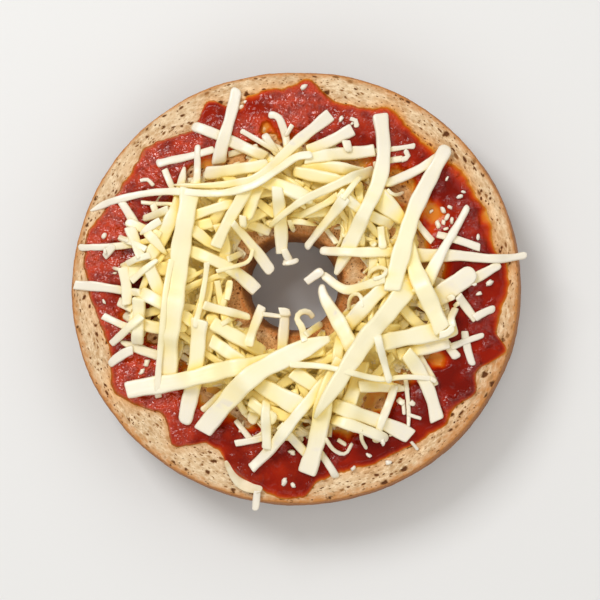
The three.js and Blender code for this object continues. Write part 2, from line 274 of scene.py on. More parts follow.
outer_centre = BREAD_REACH - BASE_EDGE_INSET
hole_centre = HOLE_RADIUS + HOLE_BASE_FLARE
cut_rim = BREAD_REACH - CUT_EDGE_INSET
cut_ring = HOLE_RADIUS + HOLE_CUT_FLARE
bread_profile = np.vstack([
    quarter_arc(outer_centre, BASE_EDGE_INSET, 0, BASE_EDGE_INSET, OUTER_BASE_STEPS)[::-1],
    [[BREAD_REACH, GIRTH_HEIGHT]],
    quarter_arc(outer_centre, BASE_EDGE_INSET, CUT_HEIGHT, CUT_EDGE_INSET, OUTER_CUT_STEPS)[:-1],
    level_run(cut_rim, BARE_RIM, FINE_STEP, CUT_HEIGHT),
    level_run(BARE_RIM, BARE_RING, COVERED_STEP, CUT_HEIGHT),
    level_run(BARE_RING, cut_ring, RING_STEP, CUT_HEIGHT),
    quarter_arc(hole_centre, -HOLE_BASE_FLARE, CUT_HEIGHT, HOLE_CUT_FLARE, HOLE_STEPS)[::-1],
    [[HOLE_RADIUS, GIRTH_HEIGHT]],
    quarter_arc(hole_centre, -HOLE_BASE_FLARE, 0, HOLE_BASE_FLARE, HOLE_STEPS)[:-1],
    level_run(hole_centre, outer_centre, BASE_STEP, 0),
])
for _ in range(EDGE_SOFTENING_PASSES):
    bread_profile = (np.roll(bread_profile, 1, 0) + 2 * bread_profile + np.roll(bread_profile, -1, 0)) / 4
bread = spin_ring("bagel_bread", bread_profile, BREAD_SIDES)

points = read_points(bread)
radius = np.hypot(points[:, 0], points[:, 1])
bearing = np.arctan2(points[:, 1], points[:, 0])
on_face = points[:, 2] > CUT_HEIGHT - FACE_MARGIN
from_edge = np.where(on_face, np.minimum(cut_rim - radius, radius - cut_ring), points[:, 2] - CUT_HEIGHT)
write_values(bread, "from_edge", from_edge / MM)
toast_and_shade = np.full(len(points), TOAST_REACH)
for middle, spread, further in TOASTED_AND_SHADED_SIDES:
    toast_and_shade += further * near_bearing(bearing, middle, spread)
write_values(bread, "toast_and_shade", toast_and_shade)
outward = np.clip((radius - HOLE_RADIUS) / (BREAD_REACH - HOLE_RADIUS), 0, 1)
unevenness = ROLLED_UNEVENNESS * np.sin(2 * bearing) * np.cos(3 * bearing) - RIM_SHRINKAGE
for middle, spread, depth in RIM_FLATS:
    unevenness -= depth * near_bearing(bearing, middle, spread)
swell = np.where(outward > 0.5, 1 + unevenness / radius, 1)
points[:, 0] = points[:, 0] * swell + HOLE_CENTRE[0] * (1 - outward)
points[:, 1] = points[:, 1] * swell * (1 - BREAD_NARROWING * outward) + HOLE_CENTRE[1] * (1 - outward)
write_points(bread, points)
for grain, depth in BREAD_UNEVENNESS:
    roughen(bread, grain, depth)

points = read_points(bread)
draw = np.random.default_rng(BREAD_SEED)
face = np.flatnonzero(on_face)
face_x, face_y = points[face, 0], points[face, 1]
hollow = np.zeros(len(face))
pore = np.zeros(len(points))
for _ in range(PORE_COUNT):
    reach = math.sqrt(draw.uniform(cut_ring ** 2, cut_rim ** 2))
    turn = draw.uniform(0, FULL_TURN)
    half_length = min(PORE_LENGTH[0] * math.exp(draw.exponential(PORE_LENGTH_SPREAD)), PORE_LENGTH[1]) / 2
    half_width = half_length * draw.uniform(*PORE_FLATNESS)
    heading = turn + math.pi / 2 + draw.normal(0, PORE_SLANT)
    lobe = draw.uniform(0, FULL_TURN)
    dx = face_x - reach * math.cos(turn)
    dy = face_y - reach * math.sin(turn) * (1 - BREAD_NARROWING)
    near = np.flatnonzero(dx * dx + dy * dy < (PORE_MARGIN * half_length) ** 2)
    along = (dx[near] * math.cos(heading) + dy[near] * math.sin(heading)) / half_length
    across = (dy[near] * math.cos(heading) - dx[near] * math.sin(heading)) / half_width
    ragged = 1 + PORE_RAGGEDNESS * np.sin(PORE_LOBES * np.arctan2(across, along) + lobe)
    inside = np.clip(1 - (along ** 2 + across ** 2) * ragged, 0, 1)
    depth = PORE_DEPTH * half_width * np.sqrt(inside)
    hollow[near] = np.maximum(hollow[near], depth)
    pore[face[near]] = np.maximum(pore[face[near]], np.sqrt(inside))
points[face, 2] -= hollow
points[:, 2] = np.maximum(points[:, 2], bread_low.z)
write_points(bread, points)
write_values(bread, "pore", pore)

CRUMB_LIGHT = srgb(214, 182, 141)
CRUMB_MID = srgb(188, 149, 103)
CRUMB_WALL = srgb(243, 220, 184)
BRAN_FLECK = srgb(140, 98, 54)
PORE_RIM_SHADE = srgb(164, 116, 66)
PORE_SHADE_AND_FRECKLE_COLOUR = srgb(96, 55, 25)
OIL_STAIN = srgb(250, 190, 92)
TOASTED_AND_SHADED_COLOUR = srgb(194, 126, 60)
CRUST_BLOTCH = srgb(188, 122, 62)
CRUST_COLOURS = (
    (0.0, srgb(110, 69, 36)),
    (0.5, srgb(135, 84, 43)),
    (0.85, srgb(165, 104, 52)),
    (1.0, srgb(190, 124, 64)),
)
bread_finish, tree, shader = new_material("baked_bread")
place = add_node(tree, "ShaderNodeTexCoord").outputs["Object"]
split = add_node(tree, "ShaderNodeSeparateXYZ", {0: place}).outputs
round_the_ring = calculate(tree, "ARCTAN2", split[1], split[0])
flat = add_node(tree, "ShaderNodeCombineXYZ", {0: split[0], 1: split[1]}).outputs[0]
from_middle = add_node(tree, "ShaderNodeVectorMath", {0: flat}, operation="LENGTH").outputs["Value"]
rolled = add_node(tree, "ShaderNodeCombineXYZ", {
    0: calculate(tree, "MULTIPLY", round_the_ring, ROLL_SCALE),
    1: calculate(tree, "DIVIDE", from_middle, MM),
    2: calculate(tree, "DIVIDE", split[2], MM),
}).outputs[0]
bend = add_node(tree, "ShaderNodeTexNoise", {"Vector": rolled, "Scale": 0.9, "Detail": 2.0})
shift = calculate_vector(tree, "MULTIPLY", bend.outputs["Color"], (0.9, 0.9, 0.9))
ragged = calculate_vector(tree, "ADD", rolled, shift)
blotch = mottle(tree, rolled, 0.35, 4.0)
fleck = mottle(tree, rolled, 1.5, 3.0, roughness=0.6)
flour = mottle(tree, rolled, 2.4, 4.0, roughness=0.65)
# Painted shade: each pore, modelled or too fine to model, is coloured darker inside, standing in for the
# shade in the hole.
pore_shade_and_depth = stretch(tree, read_value(tree, "pore"), 0.1, 0.7, 0.0, 0.9)
for scale, largest in FINE_PORES:
    hole = add_node(tree, "ShaderNodeTexVoronoi", {"Vector": ragged, "Scale": scale}).outputs
    chance = add_node(tree, "ShaderNodeSeparateColor", {0: hole["Color"]}).outputs
    size = stretch(tree, chance[0], 0.4, 1.0, -0.1, largest)
    inside = stretch(tree, calculate(tree, "SUBTRACT", hole["Distance"], size), 0.06, -0.12)
    darkness = calculate(tree, "MULTIPLY", inside, stretch(tree, chance[1], 0.0, 1.0, 0.3, 1.0))
    pore_shade_and_depth = calculate(tree, "MAXIMUM", pore_shade_and_depth, darkness)
cells = add_node(
    tree, "ShaderNodeTexVoronoi", {"Vector": ragged, "Scale": 1.1, "Smoothness": 0.3}, feature="SMOOTH_F1")
wall = stretch(tree, cells.outputs["Distance"], 0.15, 0.75)
wall = calculate(tree, "MULTIPLY", wall, stretch(tree, flour, 0.3, 0.6))
crumb = blend_colours(tree, stretch(tree, blotch, 0.36, 0.6), CRUMB_MID, CRUMB_LIGHT)
crumb = blend_colours(tree, wall, crumb, CRUMB_WALL)
crumb = blend_colours(tree, stretch(tree, fleck, 0.58, 0.72, 0.0, 0.5), crumb, BRAN_FLECK)
edge = read_value(tree, "from_edge")
toast_and_shade = calculate(tree, "DIVIDE", edge, read_value(tree, "toast_and_shade"))
toast_and_shade = calculate(tree, "ADD", toast_and_shade, stretch(tree, fleck, 0.3, 0.7, -0.35, 0.35))
# The toasted colour; on the lower right it is partly painted shade where the light falls off.
crumb = blend_colours(tree, stretch(tree, toast_and_shade, 1.0, 0.0, 0.0, 0.9), crumb, TOASTED_AND_SHADED_COLOUR)
# Painted shade: a warm brown rim and a dark brown inside for each pore.
crumb = blend_colours(tree, stretch(tree, pore_shade_and_depth, 0.0, 0.5), crumb, PORE_RIM_SHADE)
crumb = blend_colours(tree, stretch(tree, pore_shade_and_depth, 0.4, 0.9), crumb, PORE_SHADE_AND_FRECKLE_COLOUR)
crumb = blend_colours(tree, read_value(tree, "oil"), crumb, OIL_STAIN, "MULTIPLY")
crust = colour_ramp(tree, stretch(tree, edge, -13.0, -0.3), *CRUST_COLOURS)
crust = blend_colours(tree, stretch(tree, blotch, 0.4, 0.62, 0.0, 0.45), crust, CRUST_BLOTCH)
freckles = mottle(tree, place, 1400.0, 3.0)
crust = blend_colours(tree, stretch(tree, freckles, 0.45, 0.75, 0.0, 0.4), crust, PORE_SHADE_AND_FRECKLE_COLOUR)
skin = stretch(tree, calculate(tree, "ADD", edge, stretch(tree, fleck, 0.3, 0.7, -0.4, 0.4)), 0.1, -0.5)
finish = blend_colours(tree, skin, crumb, crust)
relief = calculate(tree, "SUBTRACT", flour, calculate(tree, "MULTIPLY", pore_shade_and_depth, 1.6))
bump = add_node(tree, "ShaderNodeBump", {"Strength": 0.6, "Distance": 0.35 * MM, "Height": relief})
set_inputs(tree, shader, {
    "Base Color": finish,
    "Roughness": stretch(tree, skin, 0.0, 1.0, 0.85, 0.6),
    "Normal": bump.outputs[0],
    "Specular IOR Level": 0.25,
})
bread.data.materials.append(bread_finish)
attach(bread, "root")
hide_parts("bagel_half")

# Tomato sauce: a pulpy spread of cooked tomato, smeared over the cut face with a spoon.
# It lies thick towards the rim and thins to streaks near the hole.
# Its oil soaks into the bread beside it.
LATTICE_CELLS = 256
LATTICE_SHIFT = 100
OUTLINE_STEPS = 12
# The outline's corners: each one's bearing in degrees and reach in millimetres.
SAUCE_LOBES = (
    (0, 53.8), (5, 53.7), (10, 51.6), (21, 51.9), (28, 50.9), (33, 51.2), (41, 49.5), (50, 48.5),
    (57, 50), (62, 51), (67, 48.6), (78, 48), (86, 52.2), (91, 50.5), (103, 49.8), (107, 46.8),
    (115, 51.6), (123, 47.4), (137, 51.4), (147, 50.5), (156, 51.5), (165, 53.8), (173, 53.7),
    (185, 51.4), (197, 49.2), (209, 52.2), (217, 49.9), (226, 46.6), (233, 50.6), (242, 45.3),
    (253, 49.4), (265, 53.2), (273, 53), (279, 49), (296, 49.2), (316, 51.5), (322, 51), (329.5, 52.8),
    (334, 50.7), (338.5, 52.8), (342.8, 56.2), (346.8, 52.4), (352, 52.2),
)
RAGGED_EDGE = 0.42 * MM
RAGGED_GRAIN = 2.6 * MM
RAGGED_RADIUS = 50 * MM
SAUCE_INNER_RADIUS = 19 * MM
SAUCE_INNER_MARGIN = 2 * MM
SAUCE_INNER_WAVE = 1.1 * MM
SAUCE_INNER_LOBES = 5
SAUCE_SIDES = 900
SAUCE_ROWS = 66
SAUCE_UNDER_ROWS = 8
SAUCE_CROWDING = 0.55
SAUCE_DEPTH = 1.45 * MM
# How wide the rounded edge is: bearings in degrees and widths in millimetres.
EDGE_WIDTHS = (
    (0, 3), (20, 3.2), (45, 3.4), (75, 2.6), (100, 2), (120, 1.7), (150, 1.8), (180, 2.2), (210, 1.6),
    (240, 1.3), (265, 1.8), (300, 2), (330, 1.6), (345, 1.8),
)
EDGE_GRAIN = 7 * MM
EDGE_VARIATION = 0.35
EDGE_ROUNDNESS = 1.6
SAUCE_SUNK = 0.25 * MM
THICK_FROM = 34 * MM
THICK_WAVE = 3 * MM
THICK_GRAIN = 11 * MM
THICK_RISE = 6 * MM
THIN_DEPTH = 0.2 * MM
THIN_GRAIN = 5 * MM
THIN_PULP = 0.25
STREAK_CONTRAST = 2.4
STREAK_GAPS = 1.2
LUMP_HEIGHT = 0.34 * MM
LUMP_GRAIN = 4.6 * MM
PULP_HEIGHT = 0.24 * MM
PULP_GRAIN = 1.5 * MM
PULP_PATCH = 9 * MM
PULP_MEAN = 1.1
PULP_VARIATION = 0.85
PULP_RANGE = (0.35, 1.6)
GLINT_PATCH = 5 * MM
GLINT_COVER = 0.15
GLINT_CONTRAST = 1.7
GLINT_STRENGTH = 0.8
FLESH_DEPTH = 0.8 * MM
PATCH_GRAIN = 2.5 * MM
PATCH_RAGGEDNESS = 0.25
PATCH_FADE = 1.25
# Places wiped almost bare: x, y and size in millimetres, and the depth wiped off.
BARE_PATCHES = (
    (-6.8, 39.6, 3.2, 1.4), (34.9, 18.1, 4.4, 1.32), (36.2, -18.3, 3, 1.4), (26.7, 25.1, 5, 1.9),
    (-11.4, -33.3, 4, 1.9), (19.9, -29.1, 4, 1.9), (-35.5, -13, 2.6, 1.9), (-25.3, 28.3, 3, 1.9),
    (-42.5, -7, 2.6, 1.1), (48.4, 17.3, 2.4, 1.1), (13, -36.3, 2.6, 1.2),
)
SMOOTH_BEARING = math.radians(-25)
SMOOTHNESS = 0.88
SMOOTH_MIDDLE = 0.45
SMOOTH_SWING = 0.95
OIL_SPREAD = 1.5 * MM
OIL_GRAIN = 6 * MM
OIL_PATCHINESS = 0.6
LEAST_OIL_SPREAD = 0.35
LEAST_OIL = 0.18
INNER_OIL = 0.65
SAUCE_BAND = 12 * MM
# Oily sides of the sauce: the bearing and spread in degrees, and the strength.
OILY_SIDES = ((45, 32, 1.0), (95, 30, 0.55), (10, 14, 0.8), (215, 30, 0.6), (300, 25, 0.5), (180, 25, 0.35))


def closed_curve(corners, steps):
    """A smooth closed line through the corners, with that many steps between each two."""
    before, after, beyond = (np.roll(corners, shift, 0) for shift in (1, -1, -2))
    lines = []
    for share in np.arange(steps) / steps:
        lines.append(
            corners * (1 + 0.5 * (-5 * share * share + 3 * share ** 3))
            + before * 0.5 * (-share + 2 * share * share - share ** 3)
            + after * 0.5 * (share + 4 * share * share - 3 * share ** 3)
            + beyond * 0.5 * (share ** 3 - share * share))
    return np.stack(lines, 1).reshape(-1, 2)


def smooth_step(value):
    """Holds a value between 0 and 1 and eases it in and out."""
    value = np.clip(value, 0, 1)
    return value * value * (3 - 2 * value)


def clouds(x, y, grain, seed, octaves=3):
    """Smooth seeded unevenness from about -1 to 1, on a lattice of that grain."""
    lattice = np.random.default_rng(seed).uniform(-1, 1, (octaves, LATTICE_CELLS, LATTICE_CELLS))
    total = np.zeros_like(x)
    share = 1.0
    for layer in lattice:
        along, across = x / grain + LATTICE_SHIFT, y / grain + LATTICE_SHIFT
        column, row = np.floor(along).astype(int), np.floor(across).astype(int)
        right, up = smooth_step(along - column), smooth_step(across - row)
        left_column, right_column = column % LATTICE_CELLS, (column + 1) % LATTICE_CELLS
        levels = []
        for level in (row % LATTICE_CELLS, (row + 1) % LATTICE_CELLS):
            near, far = layer[left_column, level], layer[right_column, level]
            levels.append(near + (far - near) * right)
        total += share * (levels[0] * (1 - up) + levels[1] * up)
        grain, share = grain / 2, share / 2
    return total


lobes = np.array([
    (reach * MM * math.cos(math.radians(turn)), reach * MM * math.sin(math.radians(turn)))
    for turn, reach in SAUCE_LOBES
])
outline = closed_curve(lobes, OUTLINE_STEPS)
outline_turn = np.unwrap(np.arctan2(outline[:, 1], outline[:, 0]))
outline_reach = np.hypot(outline[:, 0], outline[:, 1])


def sauce_reach(turn):
    """How far the sauce spreads at each bearing, with a ragged edge."""
    reach = np.interp(turn, outline_turn, outline_reach, period=FULL_TURN)
    x, y = RAGGED_RADIUS * np.cos(turn), RAGGED_RADIUS * np.sin(turn)
    return reach + RAGGED_EDGE * clouds(x, y, RAGGED_GRAIN, seed=5)


def pulpiness(x, y):
    """How coarse the pulp is: least on the right, where the sauce has run smooth."""
    smooth_side = np.cos(np.arctan2(y, x) - SMOOTH_BEARING)
    coarse = 1 - SMOOTHNESS * smooth_step(SMOOTH_MIDDLE + SMOOTH_SWING * smooth_side)
    patches = PULP_MEAN + PULP_VARIATION * clouds(x, y, PULP_PATCH, seed=13)
    return coarse * np.clip(patches, *PULP_RANGE)


def glints(x, y):
    """How much the wet surface sparkles: on all coarse pulp, and in patches where it has run smooth."""
    patches = smooth_step(GLINT_COVER + GLINT_CONTRAST * clouds(x, y, GLINT_PATCH, seed=14))
    return np.maximum(pulpiness(x, y), GLINT_STRENGTH * patches)


def sauce_depth(x, y):
    """The sauce's depth over the bread; below nothing, the bread is bare."""
    reach, turn = np.hypot(x, y), np.arctan2(y, x)
    inner = THICK_FROM + THICK_WAVE * clouds(x, y, THICK_GRAIN, seed=6)
    thick = smooth_step((reach - inner) / THICK_RISE)
    streaks = STREAK_CONTRAST * clouds(x, y, THIN_GRAIN, seed=7) - STREAK_GAPS
    depth = THIN_DEPTH * streaks * (1 - thick) + SAUCE_DEPTH * thick
    ragged = 1 + PATCH_RAGGEDNESS * clouds(x, y, PATCH_GRAIN, seed=8)
    for patch_x, patch_y, size, wiped in BARE_PATCHES:
        distance = np.hypot(x - patch_x * MM, y - patch_y * MM) / (size * MM)
        depth -= wiped * MM * smooth_step(PATCH_FADE - distance * ragged) * thick
    pulp = LUMP_HEIGHT * clouds(x, y, LUMP_GRAIN, seed=9, octaves=2)
    pulp += PULP_HEIGHT * clouds(x, y, PULP_GRAIN, seed=10, octaves=2) * glints(x, y)
    depth += pulp * (THIN_PULP + (1 - THIN_PULP) * thick)
    margin = np.minimum(sauce_reach(turn) - reach, reach - SAUCE_INNER_RADIUS + SAUCE_INNER_MARGIN)
    edge = np.interp(np.degrees(turn), *np.array(EDGE_WIDTHS).T, period=360) * MM
    edge = edge * (1 + EDGE_VARIATION * clouds(x, y, EDGE_GRAIN, seed=12))
    rim = 1 - (1 - np.clip(margin / edge, 0, 1)) ** EDGE_ROUNDNESS
    return np.where(depth > 0, depth * rim, depth)


def layer_ring(name, shares, under_rows, sides):
    """A flat ring, and for each vertex whether it is on top, its bearing and its share of the way out."""
    upper = np.column_stack([1 + shares, np.ones(len(shares))])
    under = np.column_stack([2 - np.linspace(0, 1, under_rows), np.zeros(under_rows)])
    ring = spin_ring(name, np.vstack([upper, under]), sides)
    x, y, level = read_points(ring).T
    return ring, level > 0.5, np.arctan2(y, x), np.hypot(x, y) - 1


sauce_shares = np.linspace(0, 1, SAUCE_ROWS) ** SAUCE_CROWDING
sauce, on_top, turn, share = layer_ring("sauce_spread", sauce_shares, SAUCE_UNDER_ROWS, SAUCE_SIDES)
inner = SAUCE_INNER_RADIUS + SAUCE_INNER_WAVE * np.sin(SAUCE_INNER_LOBES * turn)
reach = inner + (sauce_reach(turn) - inner) * share
x, y = reach * np.cos(turn), reach * np.sin(turn)
depth = np.maximum(sauce_depth(x, y), -SAUCE_SUNK)
level = np.where(on_top, depth, -2 * SAUCE_SUNK)
write_points(sauce, np.column_stack([x, y, CUT_HEIGHT + level]))
write_values(sauce, "depth", depth / MM)
fleshy = smooth_step(depth / FLESH_DEPTH)
write_values(sauce, "pulpiness", pulpiness(x, y) * fleshy)
write_values(sauce, "glints", glints(x, y) * fleshy)

bread_points = read_points(bread)
turn = np.arctan2(bread_points[:, 1], bread_points[:, 0])
past_edge = np.hypot(bread_points[:, 0], bread_points[:, 1]) - sauce_reach(turn)
soak = np.full(len(turn), LEAST_OIL)
for middle, spread, strength in OILY_SIDES:
    soak = np.maximum(soak, strength * near_bearing(turn, middle, spread))
patchy = 1 + OIL_PATCHINESS * clouds(bread_points[:, 0], bread_points[:, 1], OIL_GRAIN, seed=11)
oil = soak * np.exp(-np.maximum(past_edge, 0) / (OIL_SPREAD * patchy.clip(LEAST_OIL_SPREAD)))
oil = np.where(past_edge < -SAUCE_BAND, INNER_OIL * smooth_step(patchy), oil) * on_face
write_values(bread, "oil", oil)

SAUCE_OILY = srgb(220, 160, 70)
SAUCE_THIN = srgb(212, 112, 24)
SAUCE_EDGE_RED = srgb(194, 58, 6)
SAUCE_RED = srgb(148, 25, 2)
SAUCE_DEEP = srgb(114, 15, 1)
PULP_RED = srgb(222, 68, 18)
sauce_finish, tree, shader = new_material("tomato_sauce")
place = add_node(tree, "ShaderNodeTexCoord").outputs["Object"]
pulp = mottle(tree, place, 420.0, 3.0)
grains = mottle(tree, place, 850.0, 1.0)
depth_share = stretch(tree, read_value(tree, "depth"), 0.0, 1.6)
colour = colour_ramp(
    tree, depth_share,
    (0.0, SAUCE_OILY), (0.16, SAUCE_THIN), (0.4, SAUCE_EDGE_RED), (0.72, SAUCE_RED), (1.0, SAUCE_DEEP))
sparkle = read_value(tree, "glints")
flesh = calculate(tree, "MULTIPLY", stretch(tree, pulp, 0.35, 0.7, 0.3, 1.0), read_value(tree, "pulpiness"))
colour = blend_colours(tree, stretch(tree, flesh, 0.1, 1.0, 0.0, 0.6), colour, PULP_RED)
relief = calculate(tree, "MULTIPLY", calculate(tree, "ADD", pulp, grains), sparkle)
bump = add_node(tree, "ShaderNodeBump", {"Strength": 1.0, "Distance": 0.65 * MM, "Height": relief})
set_inputs(tree, shader, {
    "Base Color": colour,
    "Roughness": stretch(tree, sparkle, 0.1, 0.8, 0.16, 0.12),
    "Coat Weight": stretch(tree, sparkle, 0.4, 1.4, 0.0, 0.95),
    "Normal": bump.outputs[0],
    "Coat Normal": bump.outputs[0],
    "Subsurface Weight": 0.12,
    "Subsurface Radius": (1.0, 0.2, 0.08),
    "Subsurface Scale": 0.8 * MM,
    "IOR": 1.42,
    "Specular IOR Level": 0.2,
    "Coat IOR": 1.6,
    "Coat Roughness": 0.06,
})
sauce.data.materials.append(sauce_finish)
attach(sauce, "root")
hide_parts("tomato_sauce")

# Matted shreds: the low layer of grated cheese next to the bread, thrown on by hand.
# Short shreds and broad strips lie every way round the ring and carry the longer shreds above them.
HEAP_REACH = 64 * MM
HEAP_CELL = 0.5 * MM
SHRED_SINK = 0.4 * MM
SHRED_SAG = 1.4 * MM
SHRED_FLATNESS = 0.42
SHRED_THINNEST = 0.7 * MM
SHRED_THICKEST = 1.7 * MM
CORNER_RADIUS = 0.55 * MM
STATION_STEP = 1.0 * MM
STATION_DIGITS = 6
SUPPORT_ACROSS = (-0.4, 0.0, 0.4)
STRAIGHT_STEPS = 4
BENT_STEPS = 6
SLIM_CORNER = (0, 45, 90)
BROAD_CORNER = (0, 30, 60, 90)
BROAD_TOP = (0.7, -0.7)
BROAD_FROM = 2.3 * MM
RESTING_ROUNDS = 3
RESTING_PASSES = 10
DROOPING_PASSES = 6
SIDE_WAVES = ((0.06, 2.6 * MM), (0.04, 1.1 * MM))
WIDTH_DRIFT = (0.84, 1.06)
ROLL = 0.15
TWIST = 0.3
END_SKEW = 0.3
CORNER_SHARE = 0.42
SIDE_ROUGHNESS = 0.03 * MM
TOP_ROUGHNESS = 0.012 * MM
TILT_LIFT = 0.3
WANDER = 0.18 * MM
WANDER_GRAIN = 3.5 * MM
STOUTEST = 0.9
# Strewn shreds, the lowest first: number, seed, and ranges of reach, length and width in millimetres.
SMALL_LOW = (240, 4471, (17, 41), (6, 15), (1.0, 2.4))
BROAD_LOW = (70, 20261, (18, 41), (10, 17), (1.9, 2.9))
SMALL_HIGH = (170, 615, (15.5, 41), (4, 12), (0.8, 1.9))
BITS = (260, 97, (17, 43), (1.2, 4.2), (0.5, 1.1))
BROAD_HIGH = (130, 8123, (18.5, 37), (11, 22), (1.8, 3.6))
# Gaps in the heap: x, y and radius in millimetres.
CLEARINGS = (
    (34.9, 18.6, 4), (27, 25.4, 2.5), (13, -2.5, 3), (14.5, 5, 2.5), (-12.5, -4, 3.5), (-6.8, -12.5, 2.5),
    (-11, 10.5, 2.5), (5, 13, 2), (-1, 12.5, 1.5), (20, -29, 2), (-7.2, 38.9, 3),
)
# The edge of the strewn shreds: bearings in degrees and reaches in millimetres.
HEAP_OUTLINE = (
    (0, 39), (15, 34), (28, 29), (45, 33), (60, 36), (75, 37), (90, 37), (105, 36), (120, 36), (135, 38),
    (150, 42), (165, 44), (180, 44), (195, 43), (210, 38), (225, 34), (240, 36), (255, 41), (270, 41),
    (285, 39), (300, 38), (315, 36), (330, 37), (345, 40),
)
HEAP_INNER = 13.5
MATTED_BOW = 2.0
FULL_BOW_LENGTH = 12
PATH_SAMPLES = 9
MATTED_SEED = 52
DRAW_FACTOR = 16807
DRAW_PERIOD = 2147483647
# A shred's ends: distances from the tip in widths, and the shares of the width and thickness there.
END_SHAPES = {
    "cut": ((0, 0.84, 0.74), (0.03, 0.93, 0.9), (0.09, 0.98, 0.98), (0.2, 1, 1)),
    "round": ((0, 0.36, 0.6), (0.05, 0.6, 0.76), (0.15, 0.82, 0.9), (0.3, 0.95, 0.98), (0.5, 1, 1)),
    "knob": ((0, 0.5, 0.6), (0.1, 0.88, 0.88), (0.3, 1.1, 1.05), (0.7, 1.03, 1), (1, 0.97, 1)),
    "point": ((0, 0.22, 0.5), (0.1, 0.36, 0.7), (0.5, 0.6, 0.85), (1.2, 0.86, 0.95), (2, 1, 1)),
}
END_CHANCES = ("cut", "cut", "cut", "cut", "round", "knob", "point")

heap_count = round(2 * HEAP_REACH / HEAP_CELL)
heap = np.full((heap_count, heap_count), CUT_HEIGHT)
sauce_tree = BVHTree.FromPolygons(
    [vertex.co for vertex in sauce.data.vertices], [tuple(face.vertices) for face in sauce.data.polygons])
for column in range(heap_count):
    for row in range(heap_count):
        above = Vector(((column + 0.5) * HEAP_CELL - HEAP_REACH, (row + 0.5) * HEAP_CELL - HEAP_REACH, 1))
        hit = sauce_tree.ray_cast(above, Vector((0, 0, -1)))[0]
        if hit:
            heap[column, row] = max(CUT_HEIGHT, hit.z)


def heap_cells(plan):
    """The cells of the heap's height map under each point of a path."""
    cells = np.floor((plan + HEAP_REACH) / HEAP_CELL).astype(int)
    return np.clip(cells, 0, heap_count - 1).T


def heap_height(plan):
    """How high the heap stands at each point of a path."""
    return heap[tuple(heap_cells(plan))]


def taut_line(heights):
    """The heights of a thread drawn tight over a row of supports."""
    corners = []
    for place, height in enumerate(heights):
        while len(corners) > 1:
            (start, start_height), (last, last_height) = corners[-2:]
            if (last_height - start_height) * (place - start) > (height - start_height) * (last - start):
                break
            corners.pop()
        corners.append((place, height))
    return np.interp(np.arange(len(heights)), *zip(*corners))


def soften(values, passes):
    """Rounds the kinks of a row of values and keeps its ends."""
    for _ in range(passes):
        values = values.copy()
        values[1:-1] = (values[:-2] + 2 * values[1:-1] + values[2:]) / 4
    return values


def sideways(plan):
    """The level direction to the left of each point of a path."""
    ahead = np.gradient(plan, axis=0)
    ahead /= np.linalg.norm(ahead, axis=1)[:, None]
    return np.column_stack([-ahead[:, 1], ahead[:, 0]])


def lay(plan, widths, thickness):
    """Rests a shred on what is under it, adds it to the heap and gives the heights of its underside."""
    side = sideways(plan) * widths[:, None]
    under = np.max([heap_height(plan + side * across) for across in SUPPORT_ACROSS], axis=0) - SHRED_SINK
    rest = np.maximum(under, taut_line(under) - SHRED_SAG)
    for _ in range(RESTING_ROUNDS):
        rest = np.maximum(soften(rest, RESTING_PASSES), under)
    rest = soften(rest, DROOPING_PASSES)
    lanes = math.ceil(widths.max() / HEAP_CELL) + 1
    for lane in range(lanes + 1):
        cells = tuple(heap_cells(plan + side * (lane / lanes - 0.5)))
        np.maximum.at(heap, cells, rest + thickness)
    return rest


def strip_section(turns_of_corner, flat_top):
    """Points round a strip's section: the turn of each on its corner, and which corner it belongs to."""
    rows = []
    for turn, left, up in ((0, 1, 1), (90, -1, 1), (180, -1, -1), (270, 1, -1)):
        rows += [(turn + part, left, up) for part in turns_of_corner]
        if flat_top and turn == 0:
            rows += [(90, across, 1) for across in BROAD_TOP]
    turns, left, up = np.array(rows, float).T
    return np.cos(np.radians(turns)), np.sin(np.radians(turns)), left, up


BROAD_SECTION = strip_section(BROAD_CORNER, True)
SLIM_SECTION = strip_section(SLIM_CORNER, False)


